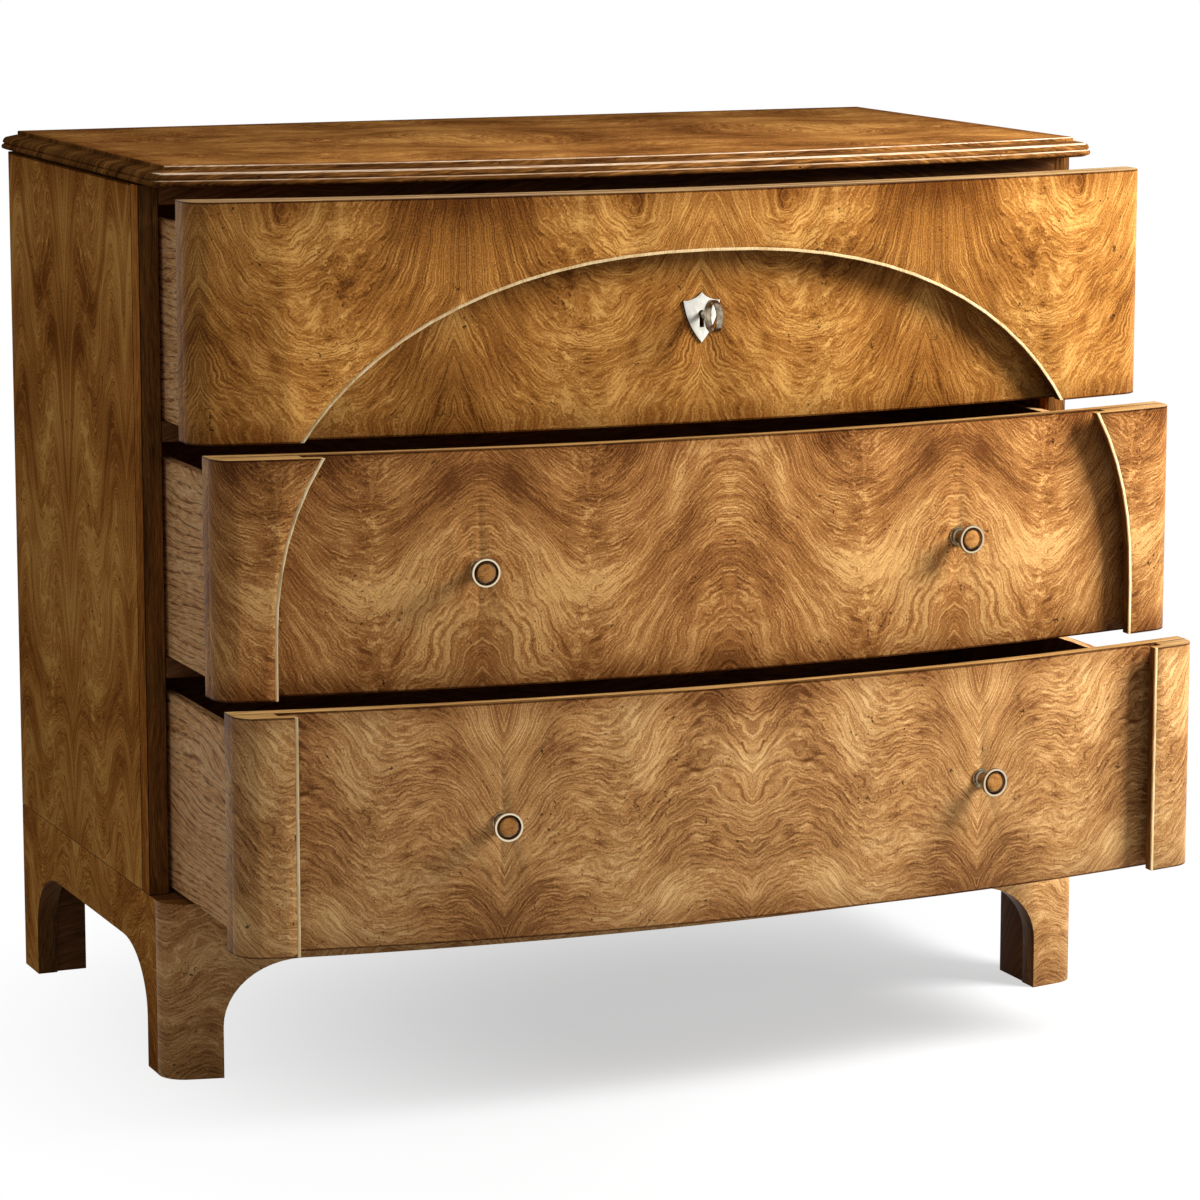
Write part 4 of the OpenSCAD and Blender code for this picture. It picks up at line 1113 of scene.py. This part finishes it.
def set_copies(name, shape, places, finish, body, nodes):
    """Sets copies of shape at places, each a point and a direction, as one piece."""
    mesh = bpy.data.meshes.new(name)
    mesh.from_pydata([place for place, _ in places], [], [])
    arrows = mesh.attributes.new("outwards", "FLOAT_VECTOR", "POINT")
    for i, (_, direction) in enumerate(places):
        arrows.data[i].vector = direction
    thing = show(name, mesh)
    run_group(thing, setting, shape, finish)
    hand_in(thing, body, nodes)


knob_x = 0.260
knob_lean = math.asin(knob_x / bow_radius)
knob_blank = turned("knob_blank", knob_outline)
disc_blank = turned("disc_blank", disc_outline)
for number in (2, 3):
    low, high = (float(corner[2]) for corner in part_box("d%d_front" % number))
    face_y = bow_centre - opened[number] - board_out - math.sqrt(bow_radius ** 2 - knob_x ** 2)
    places = []
    for sign in (-1, 1):
        point = (sign * knob_x, face_y, (low + high) / 2)
        places.append((point, (sign * math.sin(knob_lean), -math.cos(knob_lean), 0.0)))
    body = "drawer_%d" % number
    set_copies("turned_knobs_%d" % number, knob_blank, places, looks["brass"], body,
               ["d%d_knobs" % number])
    set_copies("turned_discs_%d" % number, disc_blank, places, looks["disc"], body,
               ["d%d_knob_discs" % number])
    print("drawer", number, "has its knobs at", [round(v, 4) for v in places[1][0]])
bpy.data.objects.remove(knob_blank)
bpy.data.objects.remove(disc_blank)

# %% [markdown]
# Keyhole shield, key and lock. The shield is a thin white plate in the veneer. The key stands in
# the lock with its ring turned edge on, so the ring shows as a narrow band.

# %% Shield, lock and key
def shield_face(middle, direction):
    """Bone on the face of the shield, near-black round it, and painted shade in the keyhole."""
    return "bone" if direction.y < -0.6 else "gap"


painted_board("keyhole_shield", "d1_escutcheon", 0.35, ["bone", "gap"], shield_face, "drawer_1")
for node in ("d1_lock_case", "d1_bolt_guides"):
    plain_board("soft_" + node, node, 0.3, "iron", "drawer_1")
plain_board("bolt_bar", "bolt", 0.3, "steel", "bolt")
plain_board("old_key", "key", 0.35, "steel", "key")
for node in ("d1_lock_screws", "d2_knob_screws", "d3_knob_screws"):
    plain_board("soft_" + node, node, 0.3, "steel", "drawer_" + node[1])

# %% [markdown]
# The floor. It is pale and plain and keeps the shadow under the chest. Further out it fades into
# the white of the background, but only for rays that look at it: for the light that it throws back
# it is a mid grey, so that it doesn't brighten the wood from below.

# %% Floor
def looked_at(tree):
    """1 for rays from the camera and for mirrored or refracted ones, 0 for rays that bring light."""
    ray = put(tree, "ShaderNodeLightPath").outputs
    mirrored = calc(tree, "MAXIMUM", ray["Is Glossy Ray"], ray["Is Transmission Ray"])
    return calc(tree, "MAXIMUM", ray["Is Camera Ray"], mirrored)


floor_mesh = bpy.data.meshes.new("floor")
floor_corners = [(-14, -10, 0), (14, -10, 0), (14, 22, 0), (-14, 22, 0)]
floor_mesh.from_pydata(floor_corners, [], [(0, 1, 2, 3)])
floor = show("floor", floor_mesh)
pale = new_material("pale_floor")
t = pale.node_tree
shadow_middle = (0.12, -0.12, 0.0)
fade_from, fade_to = 0.15, 0.95
thrown_back, shown = (0.36, 0.355, 0.35, 1), (0.93, 0.93, 0.93, 1)
far = distance(t, object_place(t), shadow_middle)
seen = looked_at(t)
white_share = mul(t, shaded(t, far, fade_from, fade_to, 0.55, 1.0), seen)
floor_paint = blended(t, "MIX", seen, thrown_back, shown)
painted = put(t, "ShaderNodeBsdfDiffuse", None, {"Color": floor_paint}).outputs[0]
white = put(t, "ShaderNodeEmission", None, {"Color": (1, 1, 1, 1), "Strength": 1.0}).outputs[0]
close_with(pale, put(t, "ShaderNodeMixShader", None, {0: white_share, 1: painted, 2: white}))
floor.data.materials.append(pale)
print("floor placed")

# %% [markdown]
# Light and background. One large soft lamp stands high at the right front, as in the photograph,
# and a dim even light comes from everywhere else. What the camera sees behind the chest is white.

# %% Light and background
world = bpy.data.worlds.new("studio")
bpy.context.scene.world = world
world.use_nodes = True
t = world.node_tree
t.nodes.clear()
dim = put(t, "ShaderNodeBackground", None, {"Color": (0.34, 0.34, 0.345, 1)}).outputs[0]
bright = put(t, "ShaderNodeBackground", None, {"Color": (1, 1, 1, 1)}).outputs[0]
both = put(t, "ShaderNodeMixShader", None, {0: looked_at(t), 1: dim, 2: bright})
end = t.nodes.new("ShaderNodeOutputWorld")
t.links.new(both.outputs[0], end.inputs["Surface"])


def lamp(name, place, towards, size, power):
    """A square area lamp that points at a place."""
    data = bpy.data.lights.new(name, "AREA")
    data.shape = "SQUARE"
    data.size = size
    data.energy = power
    thing = bpy.data.objects.new(name, data)
    thing.location = place
    aim = Vector(towards) - Vector(place)
    thing.rotation_euler = aim.to_track_quat("-Z", "Y").to_euler()
    bpy.context.scene.collection.objects.link(thing)
    return thing


key_light = lamp("key_light", (1.5, -1.05, 1.6), (0, -0.2, 0.5), 0.85, 71.0)
key_light.visible_glossy = False
bpy.context.scene.view_settings.view_transform = "Standard"
